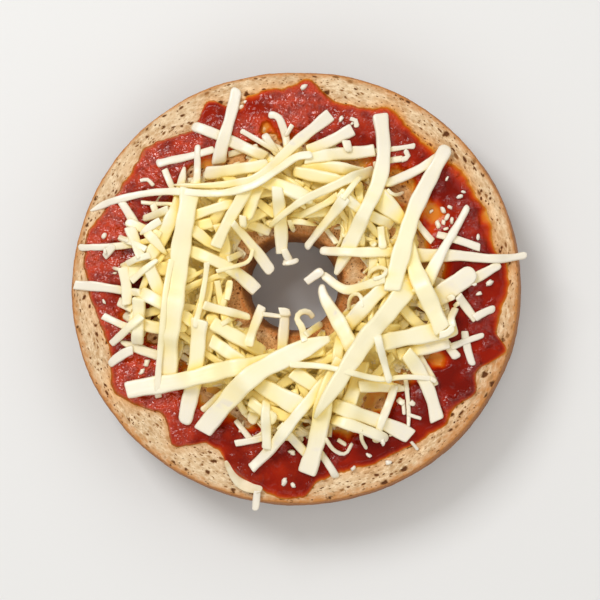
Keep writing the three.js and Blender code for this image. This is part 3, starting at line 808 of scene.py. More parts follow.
def shred_mesh(plan, widths, thickness, rest, ends, draw):
    """Vertices, faces and grain of one shred: its section swept along its path, with shaped ends."""
    steps = np.linalg.norm(np.diff(plan, axis=0), axis=1)
    distance = np.concatenate([[0], np.cumsum(steps)])
    length = distance[-1]
    width = widths.mean()
    stations = [share * width for share, _, _ in ends[0]]
    stations += [length - share * width for share, _, _ in ends[1]]
    first, last = ends[0][-1][0] * width, length - ends[1][-1][0] * width
    if last > first:
        stations += list(np.linspace(first, last, max(2, round((last - first) / STATION_STEP)) + 1)[1:-1])
    stations = np.unique(np.clip(stations, 0, length).round(STATION_DIGITS))
    centre = np.column_stack([np.interp(stations, distance, column) for column in (*plan.T, rest)])
    wide = np.interp(stations, distance, widths)
    thick = np.full(len(stations), thickness)
    for shape, from_end in ((ends[0], stations), (ends[1], length - stations)):
        shares, width_shares, thickness_shares = np.array(shape).T
        wide *= np.interp(from_end / width, shares, width_shares)
        thick *= np.interp(from_end / width, shares, thickness_shares)
    phases = draw.uniform(0, FULL_TURN, 2)
    waves = [share * np.sin(stations / grain + phase) for (share, grain), phase in zip(SIDE_WAVES, phases)]
    wide *= 1 + sum(waves)
    wide *= np.interp(stations / length, (0, 1), draw.uniform(*WIDTH_DRIFT, 2))
    roll = draw.normal(0, ROLL) + draw.normal(0, TWIST) * (stations / length - 0.5)
    skew = draw.uniform(-END_SKEW, END_SKEW, 2)
    lean = skew[0] * np.exp(-stations / width) + skew[1] * np.exp(-(length - stations) / width)
    ahead = np.gradient(centre, stations, axis=0)
    ahead /= np.linalg.norm(ahead, axis=1)[:, None]
    left = np.column_stack([-ahead[:, 1], ahead[:, 0], np.zeros(len(ahead))])
    left /= np.linalg.norm(left, axis=1)[:, None]
    up = np.cross(ahead, left)
    cos, sin = np.cos(roll)[:, None], np.sin(roll)[:, None]
    left, up = left * cos + up * sin, up * cos - left * sin
    turn_left, turn_up, corner_left, corner_up = BROAD_SECTION if width > BROAD_FROM else SLIM_SECTION
    corner = np.minimum(CORNER_RADIUS, CORNER_SHARE * np.minimum(wide, thick))[:, None]
    across = corner_left * (wide[:, None] / 2 - corner) + corner * turn_left
    height = corner_up * (thick[:, None] / 2 - corner) + corner * turn_up
    across = across + draw.normal(0, SIDE_ROUGHNESS, across.shape)
    height = height + draw.normal(0, TOP_ROUGHNESS, height.shape)
    raised = thickness / 2 + TILT_LIFT * wide * np.abs(np.sin(roll))
    middle = centre + np.array([0, 0, 1]) * raised[:, None]
    vertices = (
        middle[:, None] + left[:, None] * across[..., None] + up[:, None] * height[..., None]
        + ahead[:, None] * (across * lean[:, None])[..., None])
    rings, sides = across.shape
    ring = np.arange(rings - 1)[:, None] * sides
    corner = np.arange(sides)[None]
    following = (corner + 1) % sides
    walls = np.stack([ring + corner, ring + following, ring + sides + following, ring + sides + corner], -1)
    rung = np.arange(sides // 2 - 1)
    cap = np.column_stack([rung, rung + 1, sides - 2 - rung, sides - 1 - rung])
    faces = np.vstack([walls.reshape(-1, 4), cap[:, ::-1], cap + (rings - 1) * sides])
    grain = np.stack([np.broadcast_to(stations[:, None], across.shape), across, height], -1)
    return vertices.reshape(-1, 3), faces, grain.reshape(-1, 3) + draw.uniform(0, 1, 3)


def join_shreds(name, shreds):
    """One piece from many shreds, with each one's grain and its own tone kept on its vertices."""
    offsets = np.cumsum([0] + [len(vertices) for vertices, _, _, _ in shreds])
    vertices = np.vstack([shred[0] for shred in shreds])
    faces = np.vstack([shred[1] + offset for shred, offset in zip(shreds, offsets)])
    mesh = bpy.data.meshes.new(name)
    mesh.from_pydata(vertices.tolist(), [], faces.tolist())
    mesh.update()
    piece = bpy.data.objects.new(name, mesh)
    bpy.context.scene.collection.objects.link(piece)
    mesh.shade_smooth()
    write_values(piece, "grain", np.vstack([shred[2] for shred in shreds]))
    write_values(piece, "tone", np.concatenate([np.full(len(shred[0]), shred[3]) for shred in shreds]))
    return piece


def strip_path(x0, y0, x1, y1, width, bow=0, tip=1):
    """A strip's plan and widths from its ends, width, sideways bow and share of the width at its tip."""
    start, along = np.array([x0, y0]), np.array([x1 - x0, y1 - y0])
    length = np.linalg.norm(along)
    side = np.array([-along[1], along[0]]) / length
    share = np.linspace(0, 1, max(STRAIGHT_STEPS, math.ceil(length * MM / HEAP_CELL)) + 1)
    bend = 4 * bow * share * (1 - share)
    plan = start + along * share[:, None] + side * bend[:, None]
    return plan * MM, width * MM * (1 + (tip - 1) * share)


def make_shred(plan, widths, draw, *end_names, flatness=SHRED_FLATNESS):
    """Lays one shred on the heap and models it; ends that aren't named are drawn."""
    length = np.linalg.norm(np.diff(plan, axis=0), axis=1).sum()
    share = np.linspace(0, 1, len(plan))
    wander = WANDER * np.sin(share * length / WANDER_GRAIN + draw.uniform(0, FULL_TURN))
    plan = plan + sideways(plan) * wander[:, None]
    thinnest = SHRED_THINNEST * flatness / SHRED_FLATNESS
    thickness = np.clip(widths.mean() * flatness, thinnest, SHRED_THICKEST)
    thickness = min(thickness, STOUTEST * widths.mean())
    rest = lay(plan, widths, thickness)
    drawn_names = [END_CHANCES[draw.integers(len(END_CHANCES))] for _ in range(2)]
    ends = [END_SHAPES[name] for name in (end_names or drawn_names)]
    return (*shred_mesh(plan, widths, thickness, rest, ends, draw), draw.uniform())


def bent_path(width, *corners):
    """The plan and widths of a bent strip: a smooth line through its corners, of one width or several."""
    corners = np.array(corners) * MM
    padded = np.vstack([2 * corners[0] - corners[1], corners, 2 * corners[-1] - corners[-2]])
    plan = []
    for before, start, end, beyond in zip(padded, padded[1:], padded[2:], padded[3:]):
        steps = max(BENT_STEPS, math.ceil(np.linalg.norm(end - start) / HEAP_CELL))
        share = np.linspace(0, 1, steps, endpoint=False)[:, None]
        square = 2 * before - 5 * start + 4 * end - beyond
        cubic = 3 * start - before - 3 * end + beyond
        plan.append(start + 0.5 * share * (end - before + share * (square + share * cubic)))
    plan = np.vstack([*plan, corners[-1:]])
    widths = np.atleast_1d(width)
    spread = np.linspace(0, len(widths) - 1, len(plan))
    return plan, np.interp(spread, np.arange(len(widths)), widths) * MM


def make_strip(row, draw):
    """A shred from its row: a strip's measures, or a width and corners, then its ends if they are known."""
    measures = [value for value in row if not isinstance(value, str)]
    names = [value for value in row if isinstance(value, str)]
    path = bent_path if isinstance(row[1], tuple) else strip_path
    return make_shred(*path(*measures), draw, *names)


def seeded_draws(seed):
    """Even draws from 0 to 1 that give the same run for the same seed."""
    state = seed
    while True:
        state = state * DRAW_FACTOR % DRAW_PERIOD
        yield state / DRAW_PERIOD


def scattered_rows(count, seed, reach_range, length_range, width_range):
    """Rows of shreds spread round the ring at the golden angle, each turned and sized by a draw."""
    golden_angle = math.pi * (3 - math.sqrt(5))
    even = seeded_draws(seed)
    rows = []
    clearings = np.array(CLEARINGS)
    edge_turns, edge_reaches = np.array(HEAP_OUTLINE).T
    ranges = (reach_range, (0, math.pi), length_range, width_range)
    for number in range(count):
        reach, heading, length, width = (low + (high - low) * next(even) for low, high in ranges)
        turn = number * golden_angle
        x, y = reach * math.cos(turn), reach * math.sin(turn)
        dx, dy = length / 2 * math.cos(heading), length / 2 * math.sin(heading)
        bow = MATTED_BOW * math.sin(number) * min(1, length / FULL_BOW_LENGTH)
        line = np.linspace((x - dx, y - dy), (x + dx, y + dy), PATH_SAMPLES)
        off = np.linalg.norm(line[:, None] - clearings[None, :, :2], axis=2) - clearings[:, 2]
        reaches = np.hypot(*line.T)
        turns = np.degrees(np.arctan2(line[:, 1], line[:, 0]))
        limits = np.interp(turns, edge_turns, edge_reaches, period=360)
        inside = reaches.min() > HEAP_INNER and np.all(reaches < limits)
        if inside and off.min() > width / 2:
            rows.append((x - dx, y - dy, x + dx, y + dy, width, bow))
    return rows


draw = np.random.default_rng(MATTED_SEED)
layers = []
for strewn in (SMALL_LOW, BROAD_LOW, SMALL_HIGH, BITS, BROAD_HIGH):
    layers.append([make_strip(row, draw) for row in scattered_rows(*strewn)])
small_low, broad_low, small_high, bits, broad_high = layers
matted = join_shreds("matted_shreds", small_low + small_high + bits)
broad = join_shreds("broad_shreds", broad_low + broad_high)

CHEESE_PAINTED_PALLOR = srgb(234, 226, 211)
CHEESE_CREAM = srgb(246, 241, 219)
CHEESE_WARM = srgb(246, 234, 185)
CHEESE_CREVICE_SHADE = srgb(253, 228, 132)
STREAK_SCALE = (180.0, 1500.0, 1500.0)
cheese_finish, tree, shader = new_material("grated_cheese")
grain = read_value(tree, "grain", "Vector")
streak = mottle(tree, calculate_vector(tree, "MULTIPLY", grain, STREAK_SCALE), 1.0, 3.0)
curd = mottle(tree, add_node(tree, "ShaderNodeTexCoord").outputs["Object"], 700.0, 3.0)
# Painted light: a paler, greyer cream where the heap lies thin over the bread and at its fringe.
pallor_depth_share = stretch(tree, read_value(tree, "stack"), 0.9, 3.4)
warmth = stretch(tree, read_value(tree, "tone"), 0.2, 0.9, 0.15, 0.75)
warmth = calculate(tree, "MULTIPLY", warmth, pallor_depth_share)
colour = blend_colours(tree, pallor_depth_share, CHEESE_PAINTED_PALLOR, CHEESE_CREAM)
colour = blend_colours(tree, warmth, colour, CHEESE_WARM)
colour = blend_colours(tree, stretch(tree, streak, 0.4, 0.8, 0.0, 0.25), colour, CHEESE_WARM)
# Painted shade: a deeper yellow where the heap closes round the cheese, for the warm light between shreds.
crevice_shade = stretch(tree, read_value(tree, "painted_crevice_shade"), 0.1, 0.62, 0.0, 0.95)
crevice_shade = calculate(tree, "MULTIPLY", crevice_shade, stretch(tree, pallor_depth_share, 0.0, 1.0, 0.35, 1.0))
colour = blend_colours(tree, crevice_shade, colour, CHEESE_CREVICE_SHADE)
relief = calculate(tree, "ADD", streak, calculate(tree, "MULTIPLY", curd, 0.6))
bump = add_node(tree, "ShaderNodeBump", {"Strength": 0.2, "Distance": 0.2 * MM, "Height": relief})
set_inputs(tree, shader, {
    "Base Color": colour,
    "Roughness": stretch(tree, curd, 0.3, 0.7, 0.3, 0.4),
    "Normal": bump.outputs[0],
    "IOR": 1.45,
    "Specular IOR Level": 0.8,
})


def finish_cheese(piece, *nodes):
    """Gives a piece of cheese its finish and its place in the frame."""
    piece.data.materials.append(cheese_finish)
    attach(piece, "root")
    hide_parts(*nodes)


finish_cheese(matted, "shredded_cheese")
finish_cheese(broad, "shredded_cheese")

# Long shreds: strips of a firm cream-coloured cheese, grated along the block and strewn over the ring.
# Each lies across those below it; a few reach out over the hole and the rim.
SHRED_SEED = 907
# A straight one's row: x and y of both ends, its width, bow, share of the width at its tip, and its ends.
# A bent one's row: its width, or several along it, its corners and its ends. All are in millimetres.
LOW_SHREDS = (
    (-20, -9.5, -7.5, -17.2, 3.6), (-20.5, -14, -12, -19.3, 3.4), (-8.5, -24.5, 3, -31.5, 4.6),
    (-10.5, -29, -4, -34, 3), (0, -22, 6.5, -26, 4), (17.5, -19.5, 11.5, -34, 4, 0.6),
    (16.5, -25.5, 29, -26, 2.8), (-17.5, -27, -23, -31.6, 1.7, 0, "cut", "knob"), (-36, 5, -31, -6, 3.6),
    (-28.2, 22, -36, 6.5, 4, 0.5), (-25.5, 17, -14.5, 20.3, 2.8), (-25.3, 14, -18, 8.5, 3.4),
    (-8, 26, 5, 21, 3.5), (0.5, 28.5, 15, 24.8, 3.6), (20.8, 21.8, 29.5, 14.5, 5.5),
    (30.5, 16.2, 35, 10.8, 2.2), (25.5, 1.5, 12, -11.5, 4), (-1, 16, 6, 15.2, 1.8),
    (-27, -1, -15, 3.5, 1.8), (-27, 1, -20.5, 4.2, 1.2), (-19, 1, -17.5, -6.5, 1.9),
    (-16, 0.8, -18, -6.5, 1.4), (-38, -2, -24.5, -10, 3.4, 0.6), (-9, 36.5, -1, 33, 3),
    (-7.5, 38, -4, 32.5, 2), (-16.5, 33, -9, 35, 1.6),
)
FRINGE_SHREDS = (
    (-54.5, 10, -35, 11.5, 1.8, -1, "round", "cut"), (-55.5, 0.5, -38, -2, 2.4, 0, "cut", "cut"),
    (-25.5, 40.5, -7, 32.5, 3, 0, "round", "cut"), (-34.5, 30.5, -20, 34.5, 2.2, 0, "knob", "cut"),
    (-32.5, 29.5, -29.5, 22.5, 1.6), (-27.5, 30, -28.5, 22.5, 2.2, 0, "point", "cut"),
    (23, 24.8, 37, 32, 2.7), (36, 12.5, 46.7, 9.2, 2.1), (40, -0.5, 51.7, 4.9, 2.6, -0.5, "cut", "round"),
    (32.5, -6.2, 45.2, 3.4, 5.3, 0, "cut", "round"), (10, -30, 29.3, -38, 3.7, 0.4, "cut", "cut"),
    (29.5, -15.5, 35, -25.5, 2.7, 0.5), (36, -11, 41, -18.5, 2.2, -0.4, "cut", "knob"),
    (-43.5, -14.2, -31, -18, 2.9, -0.5, "point", "cut"), (-48, -7.5, -38, -12, 1.9),
    (-3, -35, 3.5, -43, 2.4), (-14.7, -34, -10.5, -38.7, 1.5), (-14.6, -39.6, -5, -37.6, 1.9),
    (41.3, -3, 45.7, -8.9, 2.2, 0, "cut", "cut"), (45.2, -8.6, 50.4, -6.2, 2, 0.2, "cut", "round"),
    (42.6, -11.7, 45, -20.2, 2.2, -0.3, "cut", "round"),
    (39.2, -15.6, 47.6, -12.7, 1.6, 0.2, "cut", "round"), (4.5, -40, 10.8, -48, 2.1, 0.4, "cut", "knob"),
    (25.3, -25, 20.6, -39.4, 2.2, 0, "cut", "knob"), (28, -22, 28.5, -35.5, 1.1, 0.4),
    (20, 33.8, 30.6, 34.7, 1.4, 0, "cut", "knob"), (20, 30.4, 27.5, 31.5, 1.8, 0.2),
    (-13.4, 39, -4, 33.4, 1.4), (1.9, (-6.3, 43), (-4, 42.3), (-2.6, 39), (-1.4, 34.5), "knob", "cut"),
    (-43.5, 21.5, -39.5, 14, 2.3, 0.3, "cut", "cut"), (-42.2, 16, -33, 12, 2.7, 0, "round", "cut"),
    (-44, -3.8, -40, -6, 2.3), (-38.5, 21, -30, 20.3, 1.2), (-35.3, 20.5, -33.5, 16.5, 1.8),
    (-38, 17, -31, 18.8, 2), (-37, 13.5, -31.5, 7.5, 2.6), (-33, 16, -38, 12.5, 2),
    (-41, 14.5, -37.8, 6.5, 2.6), (-44, 12.2, -36.5, 8.5, 1.6), (-41.5, 5.2, -35.5, 7.2, 1.8),
    (26, -17.5, 39, -14.8, 3.4, 0, "cut", "cut"),
)
MIDDLE_SHREDS = (
    (-22.8, -8.8, -27.2, -34.8, 4.3, 0.4, "cut", "round"), (-9.4, 27.5, -19.2, 9.3, 3.2, 0, "cut", "cut"),
    (-25.5, 8.5, -9.2, -1.3, 3.4, 1, "cut", "cut"), (-14.8, 15.3, -5.4, 3.3, 2.1, 0, 1.5, "cut", "round"),
    (-3.6, 24, -2.8, 8, 3.6, 0, "cut", "cut"), (-6, 14.8, 20, 28.5, 1.7, 0.9, 1.9, "round", "cut"),
    (13.5, 21.5, 3.2, 9.2, 3.3, -0.3, 0.55, "cut", "knob"), (15, 39, 3.5, 33.5, 3.5, 0, "cut", "cut"),
    (3, 31.3, 20.5, 34, 3.4, 0, "cut", "cut"), (-22.3, 28.6, -6, 29.6, 3.6, -0.6, "cut", "cut"),
    (-11, -15.5, -8, -5.2, 2.6, 0, "cut", "cut"), (-2.6, -17, -2.4, -6, 2.7, 0, "cut", "cut"),
    (28.3, -17, 36, -34, 3.6, 1, "cut", "cut"), (20.5, -15.5, 40.5, -10.5, 4.7, 0, "cut", "cut"),
    (9.5, -33.5, 23.5, -38.5, 2.8), (8.5, -24, -10.5, -46, 3.4, 0.4, 0.8, "cut", "cut"),
    (-38.2, -3.5, -39.2, -14.5, 3.2, 0, "cut", "cut"), (-46, -14.5, -37.5, -8, 2.1),
    (-46.5, -19.8, -40.2, -16.3, 2.3, 0.3, "round", "cut"),
    (-42.8, 4.3, -41.5, -5, 2.6, 0.3, "cut", "cut"), (-6.3, -29.5, -6.6, -41, 2.6, 0, "cut", "cut"),
    (-24, 35.5, -24.6, 24, 1.9),
    ((3.5, 1.5), (9.3, 43), (4, 38.2), (0, 34.6), (-4, 30.6), (-8, 26.8), (-12, 25.2), (-18, 24.8),
     (-30, 25.2), "cut", "point"),
)
TOP_SHREDS = (
    (-25.8, 23.8, -31.5, -22.5, 4.6, 0, "cut", "cut"), (-42, -26.5, 8, -16, 4.4, -0.4, "cut", "cut"),
    (-30, 6, -34, -28, 1.6, -0.4, "cut", "cut"), (-22.7, -36.8, 9.5, -14, 5.2, 3.6, "cut", "point"),
    (-18.8, 31, -14.4, 50, 3.2, 0, 0.85, "cut", "round"),
    ((3.6, 3.9), (10.6, 2.6), (13.5, 9), (16.5, 14.5), (19.2, 19.5), (21.3, 25), (22.4, 31), (22.6, 37),
     (22, 42.9), "point", "cut"),
    (2.7, (6.6, 8.6), (20, 8), (32, 7.4), "round", "cut"),
    ((3.9, 1.7), (29, 7.5), (37, 7.2), (44, 6.8), (51, 6.5), (58.4, 7.3), "cut", "knob"),
    ((4.4, 3.9, 2.4), (17, -19), (14.2, -14.6), (11.6, -10), (9.2, -5.8), (7.6, -2.4), (7.3, 0.2), "cut",
     "round"),
    (4.6, (12.5, -19), (9, -26.5), (6.4, -37), (3.5, -47.2), "cut", "cut"),
    ((5.2, 5, 4.7, 3), (30.5, 2), (22, -9.6), (14.3, -20), (9.6, -27.6), (5.8, -33.4), "cut", "point"),
    (31.2, -2.5, 43.6, 19.8, 4.6, -0.3, 0.34, "cut", "knob"),
    (28, 11.5, 37.4, -11.8, 4.8, -0.5, "cut", "cut"), (25, -2, 38.7, 34.7, 4.8, 2, 0.72, "cut", "round"),
    (1.5, (-0.5, -19.9), (7, -20.6), (14.7, -22.4), (21.7, -23.6), (27.7, -23.2), (35.4, -23.8), "cut",
     "round"),
    (21.2, -12.9, 24.3, -24.6, 2.4, -0.3, 0.8, "cut", "round"),
    ((2, 1.7), (5, 32.2), (1, 31.8), (-3, 29), (-7, 25.8), (-11, 23.7), (-16, 22.8), (-22, 22.9),
     (-30, 23.3), (-38, 23), (-44, 22), (-48, 20.8), (-51.5, 19), "round", "point"),
)

draw = np.random.default_rng(SHRED_SEED)
long_rows = (*LOW_SHREDS, *FRINGE_SHREDS, *MIDDLE_SHREDS, *TOP_SHREDS)
strips = join_shreds("long_shreds", [make_strip(row, draw) for row in long_rows])
finish_cheese(strips, "shredded_cheese")

# Curls and bent shreds: thin hooks, parings and broken tips of the same cheese, bent by the grater.
# They lie where they fell, in the sauce, over the hole's edge and on the longer shreds.
CURL_SEED = 333
# Each row is a width and the corners of its line, in millimetres.
CURLS = (
    (2.2, (23.2, 1), (18, -0.3), (13.4, -1.2), (10.3, 0.3), (8.7, 1.5), (6.9, 2.6)),
    (2.3, (3.1, 0.7), (5.2, 2.3), (7.3, 3.9)), (2.1, (-12.2, 17), (-12.3, 14.2)),
    (1.6, (-16.2, 6.2), (-12.6, 8.2)), (1.8, (38.6, -3.6), (40.2, -2.9)),
    (1.2, (40.2, -5.3), (41.4, -4.6)), (1.8, (40.4, -6), (39.4, -8.5), (39.9, -11)),
    (1.1, (-19, 3), (-14.5, 4.4), (-11.3, 6), (-10.2, 9)),
    (1, (23.5, 23.5), (25, 22.3), (26.5, 22.6), (27.5, 23.5)),
    (1.4, (-21.4, 5.5), (-22.2, 0), (-23, -6), (-24, -11)), (1.6, (12.5, 21), (17, 26.5)),
    (1.6, (-40.5, 1), (-33.5, 6)), (2.1, (-2.3, 9.2), (-1.6, 7.6), (-0.9, 6)),
    (1.7, (-2.6, 5.6), (-0.7, 5.6), (1.2, 6.3)),
    (1.6, (3.2, -14.5), (2.6, -11), (1.2, -8.5), (2.2, -6.9), (4.2, -7.1), (4.7, -8.3)),
    (1.6, (3.4, -12.8), (6.9, -9.4)), (1.4, (-7.8, -7.3), (-2.8, -8.05)),
    (2.4, (-3.6, -6.6), (-0.8, -6.9)), (1, (-38.8, 26.7), (-36.8, 26.9), (-35.3, 25.2)),
    (2, (-47.55, 7.2), (-45.05, 10.2)), (1, (-44.05, 11.95), (-41.3, 10.7)),
    (1, (-45.3, 4.45), (-42.8, 3.45)),
    (1.1, (18.9, 1.8), (19.4, 3.2), (21.6, 4.3), (23.6, 3.3), (22.6, 1.6), (20.2, 1)),
    (1, (14.1, -6.2), (14.1, -4.4), (15, -2.7), (16.6, -2.8), (17.4, -4.4), (17.6, -6)),
    (1.25, (14.2, 41.7), (15.6, 41.2), (15.7, 39.6)), (1.4, (27, 31.4), (28.6, 32.2), (27.9, 33.8)),
    (2, (13.45, 36.2), (14.2, 33.2)), (1.4, (-0.8, 16.2), (0.2, 13.7)),
    (1.25, (-0.3, 40.45), (-1.8, 37.45)),
    (1, (8.2, -38.3), (10.45, -41.3), (12.95, -42.05), (14.7, -39.55)),
    (1, (10.95, -38.8), (13.2, -40.05)), (1, (17.2, -36.3), (17.2, -38.8), (18.2, -41.05)),
    (1, (27.2, -28.8), (27.45, -32.55)), (1, (28.7, -32.3), (31.95, -33.55)),
    (1.6, (26.2, -28.55), (27.7, -29.8)), (1.6, (29.2, -29.2), (30.4, -29.9)),
    (1.6, (34.3, -23.6), (35.6, -24.5)), (0.8, (29.2, -39.3), (30.95, -41.3)),
    (1.3, (-17.8, -10.05), (-14.55, -8.05)), (2.2, (-22.05, -5.05), (-10.8, -8.3)),
    (1.7, (-16.8, -3.8), (-15.8, 1.2)), (1.7, (19.6, 10.6), (20.4, 9.4)), (2.2, (22, 14.4), (22.7, 8.8)),
    (1.8, (36.5, -12.9), (38.5, -12.4), (40.2, -11)),
)

draw = np.random.default_rng(CURL_SEED)
curls = join_shreds("cheese_curls", [make_strip((*row, "cut", "round"), draw) for row in CURLS])
finish_cheese(curls, "shredded_cheese")

# Rim shred: a stray shred on the bread beside the sauce, a flat pale paring and a peg past the crust.
# Both are the same cheese and lie on the cut face where they fell.
PARING_WIDTHS = (1.2, 1.7, 2.6, 3.4, 2.4)
PARING_LINE = ((-17.2, -44), (-15.6, -47.2), (-13.5, -49.4), (-10.8, -50.5), (-7.9, -51.1))
PARING_FLATNESS = 0.15
RIM_PEG = (-9.2, -51.4, -9.6, -56.4, 1.8, 0, "cut", "round")
RIM_SEED = 12
draw = np.random.default_rng(RIM_SEED)
paring_path = bent_path(PARING_WIDTHS, *PARING_LINE)
paring_shred = make_shred(*paring_path, draw, "round", "round", flatness=PARING_FLATNESS)
paring = join_shreds("rim_paring", [paring_shred])
PARING_PALE = srgb(226, 214, 184)
PARING_SHADE = srgb(214, 193, 152)
paring_finish, tree, shader = new_material("thin_paring")
place = add_node(tree, "ShaderNodeTexCoord").outputs["Object"]
thinness = mottle(tree, place, 300.0, 3.0, low=0.35, high=0.65)
colour = blend_colours(tree, thinness, PARING_SHADE, PARING_PALE)
set_inputs(tree, shader, {"Base Color": colour, "Roughness": 0.35})
paring.data.materials.append(paring_finish)
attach(paring, "root")
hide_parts("rim_shred")
rim = join_shreds("rim_cheese", [make_strip(RIM_PEG, draw)])
finish_cheese(rim, "rim_shred")

# Crumbs: small white grains of cheese broken off in the grating, stuck in the wet sauce.
# Each is a lump the size of a rice grain; several lie together on the right.
CRUMB_SLIMNESS = (0.5, 0.72)
CRUMB_TALLEST = 0.7
CRUMB_SQUARENESS = 0.85
CRUMB_DENT = 0.22
CRUMB_DENTS = 6
CRUMB_RISE = 0.15
CRUMB_SEED = 58
# Each row is x, y and length in millimetres.
CRUMB_PLACES = (
    (2.6, 50, 2.1), (-13.3, 45.3, 1.8), (-12.3, 46.5, 1.1), (12, 41.8, 1.7), (41.7, 22, 1.7),
    (42.6, 23.2, 1.2), (37.5, 18.7, 1.9), (39.2, 19.4, 1.4), (38.5, 16.9, 1.7), (39.7, 16, 1.6),
    (36.2, 15.1, 1.9), (37.6, 15.6, 1.5), (46.2, 11.8, 1.6), (-47.9, 12.6, 1.7), (46.4, -2.3, 1.6),
    (49, 0.3, 2), (-36.9, -19.4, 2.1), (-38.1, -21.7, 1.9), (-0.4, -41.8, 1.9), (-2.3, -49.2, 2.1),
    (-0.1, -50, 1.7), (14.9, -45.8, 1.5), (23.6, -44.3, 1.7), (18.9, -42.6, 1.6), (22.4, -39.3, 1.9),
    (-47.4, 8.6, 1.5), (-47.8, -4, 1.3), (-45, 3.2, 1.1), (38.5, 26.5, 1.3), (34.5, 18.4, 1.2),
    (38.2, 13.9, 1.3), (45.2, -0.2, 1.2), (14.7, 40.5, 1), (24.4, -37.6, 1.1),
)
bpy.ops.object.select_all(action="DESELECT")
bpy.ops.mesh.primitive_ico_sphere_add(subdivisions=2, radius=0.5)
lump = bpy.context.object
lump_points = read_points(lump)
lump_faces = np.array([tuple(polygon.vertices) for polygon in lump.data.polygons])
bpy.data.objects.remove(lump)
draw = np.random.default_rng(CRUMB_SEED)
grains = []
for x, y, size in CRUMB_PLACES:
    slim = draw.uniform(*CRUMB_SLIMNESS)
    turn = draw.uniform(0, FULL_TURN)
    shape = np.sign(lump_points) * np.abs(2 * lump_points) ** CRUMB_SQUARENESS / 2
    dents = np.sin(lump_points @ draw.normal(0, CRUMB_DENTS, 3) + turn)
    shape = shape * (1 + CRUMB_DENT * dents)[:, None] * size * MM
    shape = shape * (1, slim, min(slim, CRUMB_TALLEST))
    spun = shape @ np.array(Matrix.Rotation(turn, 3, "Z"))
    base = heap_height(np.array([[x, y]]) * MM)[0] / MM + CRUMB_RISE * size
    grains.append((spun + np.array((x, y, base)) * MM, lump_faces, shape + draw.uniform(0, 1, 3), 0.0))
crumbs = join_shreds("cheese_crumbs", grains)
finish_cheese(crumbs, "tomato_sauce")

# Core: the finest shreds and crumbs at the bottom of the heap, packed into a mat under the loose shreds.
# It fills the gaps between them with more of the same cheese and thins out to nothing at the heap's edges.
CORE_REACH = (15.5 * MM, 40 * MM)
CORE_EDGE = 31.5 * MM
CORE_EDGE_FADE = 4 * MM
CORE_ROWS = 90
CORE_UNDER_ROWS = 6
CORE_SIDES = 620
CORE_SHARE = 0.6
CORE_DROP = 1.35 * MM
CORE_SPREAD = 3
CORE_FIBRE = 0.9 * MM
CORE_FIBRE_STRETCH = 5
CORE_HEADINGS = np.radians((12, 55, 98, 140))
CORE_RELIEF = 0.45 * MM
CORE_CUT = 4 * MM
CORE_GAP_GRAIN = 3 * MM
CORE_GAP_RAGGEDNESS = 0.5
CORE_GAP_FADE = 1.9
CORE_EDGE_WAVE = 3 * MM
CORE_EDGE_GRAIN = 6 * MM
core_shares = np.linspace(0, 1, CORE_ROWS)
core, on_top, turn, share = layer_ring("cheese_core", core_shares, CORE_UNDER_ROWS, CORE_SIDES)
settled = heap - CUT_HEIGHT
for axis in (0, 1):
    shifts = range(-CORE_SPREAD, CORE_SPREAD + 1)
    settled = np.mean([np.roll(settled, shift, axis) for shift in shifts], axis=0)
reach = CORE_REACH[0] + (CORE_REACH[1] - CORE_REACH[0]) * share
x, y = reach * np.cos(turn), reach * np.sin(turn)
fibres = np.full(len(x), -1.0)
for heading in CORE_HEADINGS:
    along = (x * math.cos(heading) + y * math.sin(heading)) / CORE_FIBRE_STRETCH
    across = y * math.cos(heading) - x * math.sin(heading)
    fibres = np.maximum(fibres, clouds(along, across, CORE_FIBRE, seed=round(heading * 100), octaves=2))
top = CORE_SHARE * settled[tuple(heap_cells(np.column_stack([x, y])))]
top += CORE_RELIEF * (fibres - 0.5) - CORE_DROP
ragged = 1 + CORE_GAP_RAGGEDNESS * clouds(x, y, CORE_GAP_GRAIN, seed=15)
for clear_x, clear_y, size in CLEARINGS:
    off = np.hypot(x - clear_x * MM, y - clear_y * MM) / (size * MM)
    top -= CORE_CUT * smooth_step(CORE_GAP_FADE - off * ragged)
past_edge = reach - CORE_EDGE + CORE_EDGE_WAVE * clouds(x, y, CORE_EDGE_GRAIN, seed=16)
top -= CORE_CUT * smooth_step(past_edge / CORE_EDGE_FADE)
level = np.where(on_top, np.maximum(top, -SAUCE_SUNK), -2 * SAUCE_SUNK)
write_points(core, np.column_stack([x, y, CUT_HEIGHT + level]))
write_values(core, "grain", read_points(core))
write_values(core, "tone", np.clip(0.5 + 0.5 * fibres, 0, 1))
finish_cheese(core, "shredded_cheese")

# Depth of the cheese: light passes through it. A deeper yellow is painted where shreds close round it,
# as painted shade for the warm light between them. A paler cream is painted where it lies thin over
# the bread and at the fringe of the heap, as painted light. It is also yellower towards the left.
CREVICE_SHADE_BEARINGS = np.arange(8) * FULL_TURN / 8
CREVICE_SHADE_REACHES = np.array((1, 2, 3.5, 6)) * MM
FRINGE_FROM = 30 * MM
FRINGE_WIDTH = 9 * MM
FRINGE_PAINTED_PALLOR = 0.55
CORE_CREVICE_SHADE_SHARE = 0.8
CORE_PALLOR_DEPTH = 3.4
LEFT_YELLOWING_SIDE = 40 * MM
LEFT_YELLOWING = 0.15


def painted_crevice_shade(points):
    """How much the heap closes round each point, from 0 in the open to 1 deep inside, for the painted
    shade.
    """
    closed = np.zeros(len(points))
    for bearing in CREVICE_SHADE_BEARINGS:
        step = np.array([math.cos(bearing), math.sin(bearing)])
        slope = np.zeros(len(points))
        for reach in CREVICE_SHADE_REACHES:
            slope = np.maximum(slope, (heap_height(points[:, :2] + reach * step) - points[:, 2]) / reach)
        closed += slope / np.hypot(1, slope)
    return closed / len(CREVICE_SHADE_BEARINGS)


